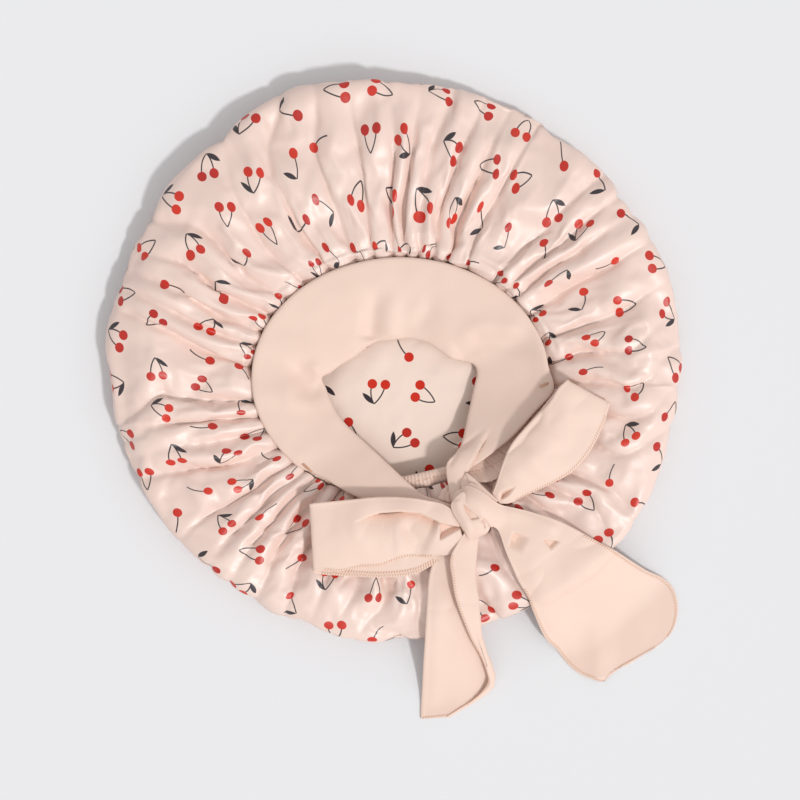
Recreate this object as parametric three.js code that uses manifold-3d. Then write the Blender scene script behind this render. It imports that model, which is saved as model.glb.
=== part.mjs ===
// A satin sleep bonnet lying flat with its opening up: a gathered, lined crown, a wide folded band whose two
// ends tie in a bow at the back of the opening, and a short elasticated stretch under the bow.
// Millimetres, +Z up. The origin is on the surface under the middle of the crown, and the bow is towards -Y.
import * as THREE from 'three';
import { mergeVertices } from 'three/addons/utils/BufferGeometryUtils.js';
import Module from 'manifold-3d';

// Crown
const crown_width = 360; // rim to rim, lying flat
const crown_height = 31; // top of the soft arch between rim and opening
const rim_height = 13; // height of the widest contour
const rim_tuck = 26; // how far the curl of the rim reaches in over the surface
const arch_share = 0.42; // place of the arch's top between rim and seam
const rim_waves = [[2, 0.3], [5, 1.1], [9, 0.4]]; // waves round the rim, and their phase
const rim_wave_shares = [0.014, 0.004, 0.005]; // their depths, of the rim's radius
const crown_folds = 32; // main gathers at the seam
const fold_depth = 5.5; // ridge to valley
const fold_uneven_share = 0.2; // how much shallower some valleys are
const fold_spread_shares = [0.1, 0.75]; // folds fade in over the arch, from rim side to seam side
const fold_pinch_share = 0.35; // folds pressed flatter where they are sewn

// Opening, in the crown's plan
const opening_width = 188;
const opening_depth = 153;
const opening_right = 2; // centre of the opening from the crown's
const opening_back = 11;
const opening_pull = 7; // how far the elastic draws the seam in
const seam_height = 21; // height of the seam between crown and band

// Cloth and the gaps between its layers
const cloth = 0.9; // one ply
const ply_gap = 0.4; // between plies of one piece
const lining_gap = 0.8; // between crown and lining
const drape_gap = 0.6; // between a loose piece and what it lies on
const seam_gap = 0.3; // between pieces that are sewn edge to edge

// Band: sewn to the crown from its right end round the front to its left end, and loose from there on
const band_right_deg = -3;
const band_left_deg = 228;
const band_edge_height = 15; // upper face at the free inner edge
const band_roll = 3; // soft rise between seam and free edge
const band_wave = 1.2; // ripple of the free edge
const band_waves = 7;
const band_lift_degs = [14, 8]; // the band rises off the seam from before to after its sewn end
const band_cover = 4; // how far beside the loose band its height is kept for what lies over it
const band_cover_fade = 10; // length over which that height then fades
// Outer and inner edge in shares of the opening's radius, at each angle in band_degs
const band_degs = [
  -62, -58, -52, -42, -28, -14, -3, 5, 14, 24, 49, 76, 112,
  134, 150, 166, 176, 190, 206, 226, 242, 258, 272, 282, 288,
];
const band_outer_shares = [
  1.12, 1.03, 0.98, 0.93, 0.9, 0.94, 1, 1, 1, 1, 1, 1, 1,
  1, 1, 1, 1, 1, 1, 0.985, 1.05, 1.06, 1.08, 1.14, 1.18,
];
const band_inner_shares = [
  0.96, 0.84, 0.71, 0.64, 0.57, 0.53, 0.5, 0.5, 0.455, 0.385, 0.35, 0.35, 0.32,
  0.345, 0.37, 0.4, 0.48, 0.49, 0.495, 0.5, 0.53, 0.57, 0.68, 0.82, 0.96,
];

// Elasticated stretch at the back of the opening
const casing_start_deg = 236;
const casing_end_deg = 350;
const casing_width = 9;
const casing_height = 6;
const casing_ribs = 20;
const casing_rib_depth = 0.5;
const casing_slit_deg = 24; // where the casing's edges meet, underneath
const elastic_width = 4.4;
const elastic_thickness = 1;
const stitch_width = 0.8;
const stitch_height = 0.5;

// Seam allowance that hangs inside under the sewn stretch of the band, and the tacks at its ends
const allowance_height = 5;
const allowance_thickness = 1.6;
const tack_length = 7;
const tack_width = 1.6;
const tack_height = 0.7;

// Knot
const knot_right = 46; // from the crown's centre
const knot_beyond = 9.5; // behind the opening's back edge
const knot_turn_deg = 20; // direction of the bundle of ties that the wrap goes round
const knot_length = 25; // along the bundle
const knot_width = 30;
const knot_height = 10;
const wrap_width = 15; // along the bundle
const wrap_thickness = 2;
const knot_gap = 0.4; // between the knot and the loops and tails that leave it

// Roots of the loops and tails: each leaves the knot as a rolled bunch, and bends there
const root_radius = 2.2;
const root_settle = 20; // length over which a piece comes down from the knot to what it lies on
const root_bury_share = 0.7; // height of a loop's plies in its root, of the root's radius

// Shape of a loop or tail in plan: half widths to the left and right of its own direction, of its length,
// at each step along it. root_deg is where it leaves the knot, and deg its direction.
const loop_steps_shares = [0, 0.1, 0.26, 0.42, 0.6, 0.78, 0.9, 1];
const left_loop = {
  root_deg: 192,
  deg: 187.5,
  length: 84,
  hem_side: 1,
  left_shares: [0.1, 0.19, 0.28, 0.33, 0.345, 0.33, 0.3, 0.27],
  right_shares: [0.1, 0.13, 0.17, 0.2, 0.225, 0.235, 0.24, 0.24],
};
const right_loop = {
  root_deg: 38,
  deg: 48,
  length: 86,
  hem_side: -1,
  left_shares: [0.05, 0.07, 0.13, 0.19, 0.2, 0.19, 0.2, 0.19],
  right_shares: [0.05, 0.08, 0.14, 0.2, 0.235, 0.23, 0.2, 0.13],
};
const loop_fold = 1.5; // radius of the fold at the far end
const loop_puff = 6; // rise of the upper ply
const loop_side_share = 0.4; // how much less it rises at the open sides
const loop_hem = 3.5; // how far the lower ply shows past the upper one
const fold_steps = 4;

const tail_steps_shares = [0, 0.09, 0.2, 0.32, 0.44, 0.56, 0.67, 0.77, 0.86, 0.93, 1];
const left_tail = {
  root_deg: 250,
  deg: 267.5,
  length: 117,
  left_shares: [0.06, 0.08, 0.08, 0.09, 0.115, 0.145, 0.175, 0.205, 0.2, 0.1, 0.02],
  right_shares: [0.07, 0.11, 0.15, 0.16, 0.163, 0.166, 0.168, 0.17, 0.171, 0.172, 0.172],
  // Width of the flap that its left edge is folded back into
  flap_shares: [0.08, 0.13, 0.15, 0.15, 0.14, 0.11, 0.075, 0.045, 0.03, 0.025, 0.02],
};
const right_tail = {
  root_deg: -2,
  deg: -40.5,
  length: 132,
  left_shares: [0.04, 0.11, 0.16, 0.185, 0.205, 0.225, 0.25, 0.28, 0.295, 0.25, 0.12],
  right_shares: [0.05, 0.075, 0.11, 0.17, 0.24, 0.27, 0.31, 0.325, 0.3, 0.2, -0.04],
};
const tail_leave = 20; // where a tail leaves the crown, inside the rim
const tail_fall = 32; // where it reaches the surface, outside the rim
const flap_height = 3.6; // rise of the lengthwise fold
const flap_columns_shares = [0, 0.4, 0.8, 1]; // the last but one is the hem's

// Hem stitching
const thread_width = 0.9;
const thread_height = 0.5;

// Steps of the grids of points that the cloth is made from
const steps_per_fold = 3;
const crown_steps = crown_folds * steps_per_fold;
const rim_stations = [0, 0.5, 0.985];
const arch_stations = [1.008, 1.17, 1.34, 1.5];
const gather_stations = [1.503, 1.68, 1.86, 2];
const lining_stations = [0, 0.5, 0.985, 1.2, 1.42, 1.68, 1.93];
const lining_steps = 36;
const band_steps = 52;
const band_columns = 4;
const casing_turns = 8;
const allowance_steps = 30;
const tack_steps = 3;
const knot_turns = 24;
const knot_rings = 14;
const roll_turns = 12;
const piece_columns_shares = [-1, -0.88, -0.45, 0, 0.45, 0.88, 1]; // the second from each edge is the hem's

const satin = { color: 0xf3ddd2, roughness: 0.35, metalness: 0 };
const crepe = { color: 0xf6d9c8, roughness: 0.7, metalness: 0 };
const thread = { color: 0xe8b99a, roughness: 0.6, metalness: 0 };
const rubber_knit = { color: 0xf2efe9, roughness: 0.8, metalness: 0 };

const degree = Math.PI / 180;
const quarter_turn_deg = 90;
const full_turn_deg = 360;
const full_turn = full_turn_deg * degree;
const slope_step = 1e-3; // in turns and stations, for measuring the crown's slope
const wasm = await Module();
wasm.setup();
const group = new THREE.Group();

function addMesh(name, geometry, finish) {
  geometry.computeVertexNormals();
  const mesh = new THREE.Mesh(geometry, new THREE.MeshStandardMaterial(finish));
  mesh.name = name;
  group.add(mesh);
}

const mix = (a, b, share) => a + (b - a) * share;
const clamp = (x, low, high) => Math.min(high, Math.max(low, x));
const smooth = (from, to, x) => {
  const share = clamp((x - from) / (to - from), 0, 1);
  return share * share * (3 - 2 * share);
};
const steps = (count, make) => Array.from({ length: count }, (_, i) => make(i));
const heading = (deg) => new THREE.Vector2(Math.cos(deg * degree), Math.sin(deg * degree));
const upright = (p, z) => new THREE.Vector3(p.x, p.y, z);

// Value at x on a smooth curve through the points (xs, ys)
function curveAt(xs, ys, x) {
  let i = 1;
  while (i < xs.length - 1 && xs[i] < x) i += 1;
  const before = Math.max(i - 2, 0);
  const after = Math.min(i + 1, xs.length - 1);
  const span = xs[i] - xs[i - 1];
  const share = clamp((x - xs[i - 1]) / span, 0, 1);
  const slope_in = (ys[i] - ys[before]) / (xs[i] - xs[before]);
  const slope_out = (ys[after] - ys[i - 1]) / (xs[after] - xs[i - 1]);
  const square = share * share;
  const cube = square * share;
  return (2 * cube - 3 * square + 1) * ys[i - 1] + (cube - 2 * square + share) * span * slope_in
    + (3 * square - 2 * cube) * ys[i] + (cube - square) * span * slope_out;
}

// The same triangles, turned over if they enclose a negative volume
function facingOut(places, index) {
  const corner = (i) => new THREE.Vector3().fromArray(places, index[i] * 3);
  let volume = 0;
  for (let i = 0; i < index.length; i += 3) volume += corner(i).dot(corner(i + 1).cross(corner(i + 2)));
  return volume > 0 ? index : index.reverse();
}

// One closed body from rows of [outer point, inner point] pairs. In a ring, the last row meets the first.
function clothBody(rows, ring = false) {
  const places = rows.flat(2).flatMap((p) => [p.x, p.y, p.z]);
  const columns = rows[0].length;
  const at = (row, column, face) => ((row % rows.length) * columns + column) * 2 + face;
  const index = [];
  const quad = (a, b, c, d) => index.push(a, b, c, a, c, d);
  const last = columns - 1;
  const spans = ring ? rows.length : rows.length - 1;
  for (let i = 0; i < spans; i += 1) {
    for (let j = 0; j < last; j += 1) {
      quad(at(i, j, 0), at(i + 1, j, 0), at(i + 1, j + 1, 0), at(i, j + 1, 0));
      quad(at(i, j, 1), at(i, j + 1, 1), at(i + 1, j + 1, 1), at(i + 1, j, 1));
    }
    quad(at(i, 0, 0), at(i, 0, 1), at(i + 1, 0, 1), at(i + 1, 0, 0));
    quad(at(i, last, 0), at(i + 1, last, 0), at(i + 1, last, 1), at(i, last, 1));
  }
  for (let j = 0; j < last && !ring; j += 1) {
    quad(at(0, j, 0), at(0, j + 1, 0), at(0, j + 1, 1), at(0, j, 1));
    quad(at(spans, j, 0), at(spans, j, 1), at(spans, j + 1, 1), at(spans, j + 1, 0));
  }
  const geometry = new THREE.BufferGeometry();
  geometry.setAttribute('position', new THREE.Float32BufferAttribute(places, 3));
  geometry.setIndex(facingOut(places, index));
  return geometry;
}

// A cord of rectangular section that lies on a line of points
function cordBody(line, width, height) {
  const rows = line.map((p, i) => {
    const ahead = line[Math.min(i + 1, line.length - 1)].clone().sub(line[Math.max(i - 1, 0)]);
    const side = new THREE.Vector3(-ahead.y, ahead.x, 0).setLength(width / 2);
    return [p.clone().sub(side), p.clone().add(side)].map((low) => [upright(low, low.z + height), low]);
  });
  return clothBody(rows);
}

function solidOf(geometry) {
  const bare = geometry.clone();
  bare.deleteAttribute('normal');
  bare.deleteAttribute('uv');
  const merged = mergeVertices(bare);
  return new wasm.Manifold(new wasm.Mesh({
    numProp: 3,
    vertProperties: merged.attributes.position.array,
    triVerts: new Uint32Array(merged.index.array),
  }));
}

function geometryOf(solid) {
  const mesh = solid.getMesh();
  const geometry = new THREE.BufferGeometry();
  geometry.setAttribute('position', new THREE.BufferAttribute(new Float32Array(mesh.vertProperties), 3));
  geometry.setIndex(new THREE.BufferAttribute(new Uint32Array(mesh.triVerts), 1));
  return geometry;
}

// Plan of the crown and of its opening
const opening_centre = new THREE.Vector2(opening_right, -opening_back);
const around = (angle, radius) => new THREE.Vector2(Math.cos(angle), Math.sin(angle)).multiplyScalar(radius);
const rimRadius = (angle) => {
  const depths = rim_waves.map(([waves, phase], i) => rim_wave_shares[i] * Math.cos(waves * angle + phase));
  return depths.reduce((radius, depth) => radius + crown_width / 2 * depth, crown_width / 2);
};
const openingRadius = (angle) => 1 / Math.hypot(
  Math.cos(angle) / (opening_width / 2),
  Math.sin(angle) / (opening_depth / 2),
);

// The seam is the opening's edge, drawn in where it is elasticated
function seamRadius(angle) {
  const middle = (casing_start_deg + casing_end_deg) / 2 * degree;
  const half = (casing_end_deg - casing_start_deg) / 2 * degree;
  const off = Math.abs(Math.atan2(Math.sin(angle - middle), Math.cos(angle - middle)));
  return openingRadius(angle) - opening_pull * smooth(half, 0, off);
}

// Height of the crown's ridges over a place
function crownHeight(p) {
  const from_centre = p.clone().sub(opening_centre);
  const from_rim = Math.max(rimRadius(p.angle()) - p.length(), 0);
  const from_seam = Math.max(from_centre.length() - seamRadius(from_centre.angle()), 0);
  const across = from_rim / (from_rim + from_seam);
  if (across < arch_share) {
    const left = 1 - across / arch_share;
    return rim_height + (crown_height - rim_height) * Math.sqrt(1 - left * left);
  }
  const down = (across - arch_share) / (1 - arch_share);
  return crown_height - (crown_height - seam_height) * down * down;
}

// Outer face of the crown: station 0 to 1 is the curl of the rim, and 1 to 2 the arch from rim to seam
function crownPoint(angle, station) {
  if (station < 1) {
    const turn = station * Math.PI / 2;
    const edge = around(angle, rimRadius(angle) - rim_tuck * (1 - Math.sin(turn)));
    return upright(edge, rim_height * (1 - Math.cos(turn)));
  }
  const rise = 2 * (station - 1);
  const across = rise < 1 ? arch_share * (1 - Math.cos(rise * Math.PI / 2)) : mix(arch_share, 1, rise - 1);
  const seam = around(angle, seamRadius(angle)).add(opening_centre);
  const p = around(angle, rimRadius(angle)).lerp(seam, across);
  return upright(p, crownHeight(p));
}

function crownNormal(angle, station) {
  const from = station < 1 ? station : Math.max(station - slope_step, 1);
  const rise = crownPoint(angle, from + slope_step).sub(crownPoint(angle, from));
  const round = crownPoint(angle + slope_step, station).sub(crownPoint(angle - slope_step, station));
  return round.cross(rise).normalize();
}

const foldFade = (station) => smooth(1 + fold_spread_shares[0], 1 + fold_spread_shares[1], station)
  * (1 - fold_pinch_share * smooth(1 + fold_spread_shares[1], 2, station));

// Depth of the folds at a step round the crown: the first step of each fold is its valley
function foldDepth(step, station) {
  if (step % steps_per_fold) return 0;
  return fold_depth * foldFade(station) * (1 - fold_uneven_share * (1 + Math.sin(step)) / 2);
}

function crownRow(angle, stations, depthAt) {
  return stations.map((station) => {
    const normal = crownNormal(angle, station);
    const outer = crownPoint(angle, station).addScaledVector(normal, -depthAt(station));
    return [outer, outer.clone().addScaledVector(normal, -cloth)];
  });
}

function addCrown() {
  const base = new THREE.Shape(steps(crown_steps, (i) => {
    const angle = i / crown_steps * full_turn;
    return around(angle, rimRadius(angle) - rim_tuck - seam_gap);
  }));
  addMesh('crown_base', new THREE.ExtrudeGeometry(base, { depth: cloth, bevelEnabled: false }), satin);
  const ring = (stations, depthAt) => {
    const row = (i) => crownRow(i / crown_steps * full_turn, stations, (station) => depthAt(i, station));
    return clothBody(steps(crown_steps, row), true);
  };
  addMesh('crown_rim', ring(rim_stations, () => 0), satin);
  addMesh('crown_arch', ring(arch_stations, foldDepth), satin);
  addMesh('crown_gathers', ring(gather_stations, foldDepth), satin);
}

// The lining lies inside the crown, under its valleys, with its middle flat on the crown's
function addLining() {
  const inset = (station) => cloth + lining_gap + fold_depth * foldFade(station);
  const rows = steps(lining_steps, (i) => crownRow(i / lining_steps * full_turn, lining_stations, inset));
  const floor = cloth + lining_gap;
  rows.forEach((row) => {
    row[0] = [upright(row[0][0], floor), upright(row[0][0], floor + cloth)];
  });
  const middle = new THREE.Shape(rows.map((row) => new THREE.Vector2(row[0][0].x, row[0][0].y)));
  const disc = new THREE.ExtrudeGeometry(middle, { depth: cloth, bevelEnabled: false });
  const whole = solidOf(disc.translate(0, 0, floor)).add(solidOf(clothBody(rows, true)));
  addMesh('crown_lining', geometryOf(whole), satin);
}

// Heights in the stack of casing, its stitching and the loose band
const casing_top = seam_height - ply_gap;
const casing_stitch_top = casing_top + seam_gap + stitch_height;
const band_plies = 2 * cloth + ply_gap;
const looseBandHeight = (p) => Math.max(crownHeight(p), casing_stitch_top) + drape_gap + band_plies;
const bandEdge = (deg, shares) => openingRadius(deg * degree) * curveAt(band_degs, shares, deg);
const bandOuterRadius = (deg) => bandEdge(deg, band_outer_shares) - seam_gap;
const bandInnerRadius = (deg) => bandEdge(deg, band_inner_shares);

// Upper face of the band, at an angle about the opening and a share of the way in from its outer edge
function bandPoint(deg, across) {
  const angle = deg * degree;
  const p = around(angle, mix(bandOuterRadius(deg), bandInnerRadius(deg), across)).add(opening_centre);
  const sag = seam_height - band_edge_height - band_wave * Math.sin(band_waves * angle);
  const sewn = seam_height + band_roll * Math.sin(Math.PI * across) - sag * across * across;
  const past_left = smooth(band_left_deg - band_lift_degs[0], band_left_deg + band_lift_degs[1], deg);
  const past_right = smooth(band_right_deg + band_lift_degs[0], band_right_deg - band_lift_degs[1], deg);
  return upright(p, mix(sewn, looseBandHeight(p), Math.max(past_left, past_right)));
}

// Height of what a loop lies on: the crown, or the loose band where that reaches
function bowFloor(p) {
  const from_centre = p.clone().sub(opening_centre);
  const deg = from_centre.angle() / degree;
  const between_ends = (band_degs[0] + band_degs[band_degs.length - 1] + full_turn_deg) / 2;
  const edge = bandOuterRadius(deg > between_ends ? deg - full_turn_deg : deg) + band_cover;
  const on_band = smooth(edge + band_cover_fade, edge, from_centre.length());
  return mix(crownHeight(p), looseBandHeight(p), on_band);
}

const knot_place = new THREE.Vector2(knot_right, -opening_back - opening_depth / 2 - knot_beyond);
const knot_half = new THREE.Vector3(
  knot_length / 2,
  knot_width / 2 + wrap_thickness,
  knot_height / 2 + wrap_thickness,
);

// Height of the knot's centre: its underside clears the crown and the loose band all round
const knot_z = (() => {
  const ring = steps(knot_turns, (i) => around(i / knot_turns * full_turn, knot_half.y).add(knot_place));
  return Math.max(crownHeight(knot_place), ...ring.map(crownHeight)) + drape_gap + knot_half.z;
})();

// A unit ball stretched to the knot's size, or to a smaller or larger one, and turned with it
function knotBall(half) {
  return solidOf(new THREE.SphereGeometry(1, knot_turns, knot_rings)
    .scale(half.x, half.y, half.z)
    .rotateZ(knot_turn_deg * degree)
    .translate(knot_place.x, knot_place.y, knot_z));
}

function addBand() {
  const space = knotBall(knot_half.clone().addScalar(knot_gap));
  ['band_outer_ply', 'band_inner_ply'].forEach((name, ply) => {
    const rows = steps(band_steps + 1, (i) => {
      const deg = mix(band_degs[0], band_degs[band_degs.length - 1], i / band_steps);
      return steps(band_columns + 1, (j) => {
        const upper = bandPoint(deg, j / band_columns);
        upper.z -= ply * (cloth + ply_gap);
        return [upper, upright(upper, upper.z - cloth)];
      });
    });
    addMesh(name, geometryOf(solidOf(clothBody(rows)).subtract(space)), crepe);
  });
}

function addAllowance() {
  const low = seam_height - band_plies - seam_gap - allowance_height;
  const inset = seam_gap + allowance_thickness / 2;
  const line = steps(allowance_steps + 1, (i) => {
    const angle = mix(band_right_deg, band_left_deg, i / allowance_steps) * degree;
    return upright(around(angle, openingRadius(angle) - inset).add(opening_centre), low);
  });
  addMesh('seam_allowance', cordBody(line, allowance_thickness, allowance_height), thread);
}

function addTacks() {
  const ends = [['bar_tack_right', band_right_deg, 1], ['bar_tack_left', band_left_deg, -1]];
  ends.forEach(([name, deg, inward]) => {
    const reach = tack_length / openingRadius(deg * degree) / degree;
    const line = steps(tack_steps + 1, (i) => {
      const p = bandPoint(deg + inward * reach * i / tack_steps, 1 / band_columns / 2);
      return upright(p, p.z + seam_gap);
    });
    addMesh(name, cordBody(line, tack_width, tack_height), thread);
  });
}

// The casing is one strip of cloth folded round the elastic and gathered into ribs
function addCasing() {
  const line = steps(2 * casing_ribs + 1, (i) => {
    const angle = mix(casing_start_deg, casing_end_deg, i / (2 * casing_ribs)) * degree;
    const p = around(angle, seamRadius(angle) - seam_gap - casing_width / 2).add(opening_centre);
    return upright(p, casing_top - casing_height / 2);
  });
  const slit = casing_slit_deg * degree;
  const rows = line.map((p, i) => {
    const out = new THREE.Vector3(p.x - opening_centre.x, p.y - opening_centre.y, 0).normalize();
    const dent = i % 2 ? 0 : casing_rib_depth;
    const place = (turn, inset) => {
      const side = Math.sin(turn) * (casing_width / 2 - dent - inset);
      const up = -Math.cos(turn) * (casing_height / 2 - dent - inset);
      return p.clone().addScaledVector(out, side).setZ(p.z + up);
    };
    return steps(casing_turns + 1, (j) => {
      const turn = mix(slit / 2, full_turn - slit / 2, j / casing_turns);
      return [place(turn, 0), place(turn, cloth)];
    });
  });
  addMesh('elastic_casing', clothBody(rows), crepe);
  const inside = line.map((p) => upright(p, p.z - elastic_thickness / 2));
  addMesh('elastic_strip', cordBody(inside, elastic_width, elastic_thickness), rubber_knit);
  const above = line.map((p) => upright(p, casing_top + seam_gap));
  addMesh('casing_topstitch', cordBody(above, stitch_width, stitch_height), thread);
}

// A loop or tail leaves the knot at its root
function rootOf(piece) {
  const off_bundle = heading(piece.root_deg - knot_turn_deg);
  const reach = 1 / Math.hypot(off_bundle.x / knot_half.x, off_bundle.y / knot_half.y);
  return heading(piece.root_deg).multiplyScalar(reach + knot_gap + root_radius).add(knot_place);
}

// Place in plan, a distance along a piece and a distance to its left
const placeOn = (piece, along, left) => rootOf(piece)
  .addScaledVector(heading(piece.deg), along)
  .addScaledVector(heading(piece.deg + quarter_turn_deg), left);

// Distance to the left of a piece's own direction, at a step along it. Its edges are at across -1 and 1.
function sideOf(piece, step, across) {
  return across * piece.length * (across > 0 ? piece.left_shares[step] : piece.right_shares[step]);
}

const settled = (along) => smooth(0, root_settle, along);

const widthOf = (piece, step) => sideOf(piece, step, 1) - sideOf(piece, step, -1);

// A shape turned to a piece's direction, and centred between its edges at a step, beside its hinge axis
function atRoot(piece, step, geometry, shift) {
  const centre = placeOn(piece, shift, (sideOf(piece, step, 1) + sideOf(piece, step, -1)) / 2);
  return solidOf(geometry.rotateZ(piece.deg * degree).translate(centre.x, centre.y, knot_z + shift));
}

// The rolled bunch that a piece starts from, round its hinge axis
function rootRoll(piece) {
  const roll = new THREE.CylinderGeometry(root_radius, root_radius, widthOf(piece, 0), roll_turns);
  return atRoot(piece, 0, roll, 0);
}

// Room that the knot leaves for a piece to swing up
function rootRoom(piece) {
  const size = knot_length + knot_width;
  const room = new THREE.BoxGeometry(size, widthOf(piece, 1) + 2 * knot_gap, size);
  return atRoot(piece, 1, room, size / 2 - root_radius - knot_gap);
}

const addPiece = (name, rows, piece) => addMesh(
  name,
  geometryOf(solidOf(clothBody(rows)).add(rootRoll(piece))),
  crepe,
);

// A line of stitches that lies along a hem
function addStitches(name, hem) {
  const line = hem.map((p) => upright(p, p.z + seam_gap));
  addMesh(`${name}_stitching`, cordBody(line, thread_width, thread_height), thread);
}

// A loop is one strip: out along its lower ply, round the fold at its far end and back along its upper ply
function addLoop(name, piece) {
  const bury = root_radius * root_bury_share;
  const row = (step, turn_deg) => {
    const along = loop_steps_shares[step] * piece.length;
    const turn = heading(turn_deg);
    const upper = (1 + turn.y) / 2;
    return piece_columns_shares.map((across) => {
      const trim = Math.sign(across) === piece.hem_side ? loop_hem * upper * settled(along) * across : 0;
      const p = placeOn(piece, along, sideOf(piece, step, across) - trim);
      const bottom = mix(knot_z - bury, bowFloor(p) + drape_gap, settled(along));
      const arch = Math.sin(Math.PI * loop_steps_shares[step]) * (1 - loop_side_share * across * across);
      const half = mix(bury, loop_fold + loop_puff * arch / 2, settled(along));
      const face = (inset) => {
        const folded = p.clone().addScaledVector(heading(piece.deg), (loop_fold - inset) * turn.x);
        return upright(folded, bottom + half + (half - inset) * turn.y);
      };
      return [face(0), face(cloth)];
    });
  };
  const last = loop_steps_shares.length - 1;
  const lower_ply = steps(last, (i) => row(i, -quarter_turn_deg));
  const fold = steps(fold_steps + 1, (i) => row(last, quarter_turn_deg * (2 * i / fold_steps - 1)));
  const upper_ply = steps(last, (i) => row(last - 1 - i, quarter_turn_deg));
  addPiece(name, [...lower_ply, ...fold, ...upper_ply], piece);
  const hem_column = piece.hem_side > 0 ? piece_columns_shares.length - 2 : 1;
  addStitches(name, upper_ply.slice(0, -1).map((pairs) => pairs[hem_column][0]));
}

// Height of the lower face of a tail: it lies on the crown and falls past its rim to the surface
function tailHeight(p) {
  const inside = rimRadius(p.angle()) - p.length();
  if (inside > tail_leave) return crownHeight(p) + drape_gap;
  const leave = p.clone().setLength(rimRadius(p.angle()) - tail_leave);
  const fallen = clamp((tail_leave - inside) / (tail_leave + tail_fall), 0, 1);
  return (crownHeight(leave) + drape_gap) * (1 + Math.cos(Math.PI * fallen)) / 2;
}

// Pairs of points across a tail: its lower face first, then its upper one
function tailRow(piece, step) {
  const along = tail_steps_shares[step] * piece.length;
  const face = (side, up) => {
    const p = placeOn(piece, along, side);
    return upright(p, mix(knot_z - cloth / 2, tailHeight(p), settled(along)) + up);
  };
  const flat = piece_columns_shares.map((across) => {
    const side = sideOf(piece, step, across);
    return [face(side, 0), face(side, cloth)];
  });
  if (!piece.flap_shares) return flat;
  const edge = sideOf(piece, step, 1);
  const half = mix(cloth + seam_gap, flap_height / 2, settled(along));
  const fold = [face(edge + half, half), face(edge + half - cloth, half)];
  const flap = flap_columns_shares.map((share) => {
    const side = edge - share * piece.length * piece.flap_shares[step];
    return [face(side, 2 * half), face(side, 2 * half - cloth)];
  });
  return [...flat, fold, ...flap];
}

function addTails() {
  const rows = (piece) => tail_steps_shares.map((_, step) => tailRow(piece, step));
  const folded = rows(left_tail);
  addPiece('left_tail', folded, left_tail);
  addStitches('left_tail', folded.slice(1, -1).map((pairs) => pairs[pairs.length - 2][0]));
  const wide = rows(right_tail);
  addPiece('right_tail', wide, right_tail);
  const left_hem = wide.slice(1, -1).map((pairs) => pairs[pairs.length - 2][1]);
  const end_hem = wide[wide.length - 2].slice(1, -2).map((pair) => pair[1]);
  const right_hem = wide.slice(1, -2).map((pairs) => pairs[1][1]);
  addStitches('right_tail', [...left_hem, ...end_hem.reverse(), ...right_hem.reverse()]);
}

// The knot: a bundle of ties with a wrap round it, both cut back where the loops and tails leave
function addKnot() {
  const rooms = [left_loop, right_loop, left_tail, right_tail].map(rootRoom);
  const cutBack = (solid) => rooms.reduce((left, room) => left.subtract(room), solid);
  const core_half = new THREE.Vector3(knot_length, knot_width, knot_height).divideScalar(2);
  addMesh('knot_core', geometryOf(cutBack(knotBall(core_half))), crepe);
  const slab = solidOf(new THREE.BoxGeometry(wrap_width, 2 * knot_half.y, 2 * knot_half.z)
    .rotateZ(knot_turn_deg * degree)
    .translate(knot_place.x, knot_place.y, knot_z));
  const wrap = knotBall(knot_half).intersect(slab).subtract(knotBall(core_half.clone().addScalar(seam_gap)));
  addMesh('knot_wrap', geometryOf(cutBack(wrap)), crepe);
}

addCrown();
addLining();
addBand();
addAllowance();
addTacks();
addCasing();
addKnot();
addLoop('left_loop', left_loop);
addLoop('right_loop', right_loop);
addTails();

export default group;
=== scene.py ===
"""A satin hair bonnet lying flat with its opening up: a gathered printed crown with a lining, a wide band
whose ends tie in a bow at the back of the opening, and a short ruched casing under the bow.
Metres, +Z up."""
import math

import bpy
import numpy as np
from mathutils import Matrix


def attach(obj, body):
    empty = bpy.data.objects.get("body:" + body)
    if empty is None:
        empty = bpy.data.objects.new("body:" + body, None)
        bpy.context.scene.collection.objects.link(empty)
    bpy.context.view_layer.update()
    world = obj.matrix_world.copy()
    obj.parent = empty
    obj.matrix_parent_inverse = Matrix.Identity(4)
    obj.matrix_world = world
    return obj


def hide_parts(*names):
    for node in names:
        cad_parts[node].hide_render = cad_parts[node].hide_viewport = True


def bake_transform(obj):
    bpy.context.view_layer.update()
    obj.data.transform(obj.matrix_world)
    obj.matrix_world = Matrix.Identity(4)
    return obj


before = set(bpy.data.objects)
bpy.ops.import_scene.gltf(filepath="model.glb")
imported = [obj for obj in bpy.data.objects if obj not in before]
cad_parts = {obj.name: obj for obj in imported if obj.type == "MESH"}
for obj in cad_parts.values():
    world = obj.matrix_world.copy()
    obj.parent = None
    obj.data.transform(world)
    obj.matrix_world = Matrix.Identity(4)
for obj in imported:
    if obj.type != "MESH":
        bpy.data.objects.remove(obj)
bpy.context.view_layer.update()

full_turn = 2 * math.pi

# Photograph: its scale on the bonnet, and the pixel under the middle of the crown
photo_size_px = 800
metres_per_px = 0.000637
middle_px = (397, 361)

# Crown
crown_radius = 0.18
rim_height = 0.013
arch_height = 0.031
rim_tuck = 0.026
arch_share = 0.42
rim_waves = ((2, 0.3, 0.014), (5, 1.1, 0.004), (9, 0.4, 0.005))  # count, phase, share of the radius
base_height = 0.0003  # the lying face, over the surface
base_lift = 0.0004  # of its inside over its edge
base_ripple = (0.02, 0.0003, 60)

# Opening
opening_middle = np.array((0.002, -0.011))
opening_half = (0.094, 0.0765)
opening_pull = 0.007
seam_height = 0.021
casing_degs = (236, 350)
sewn_degs = (-2, 228)
sewn_fade_deg = 4

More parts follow.
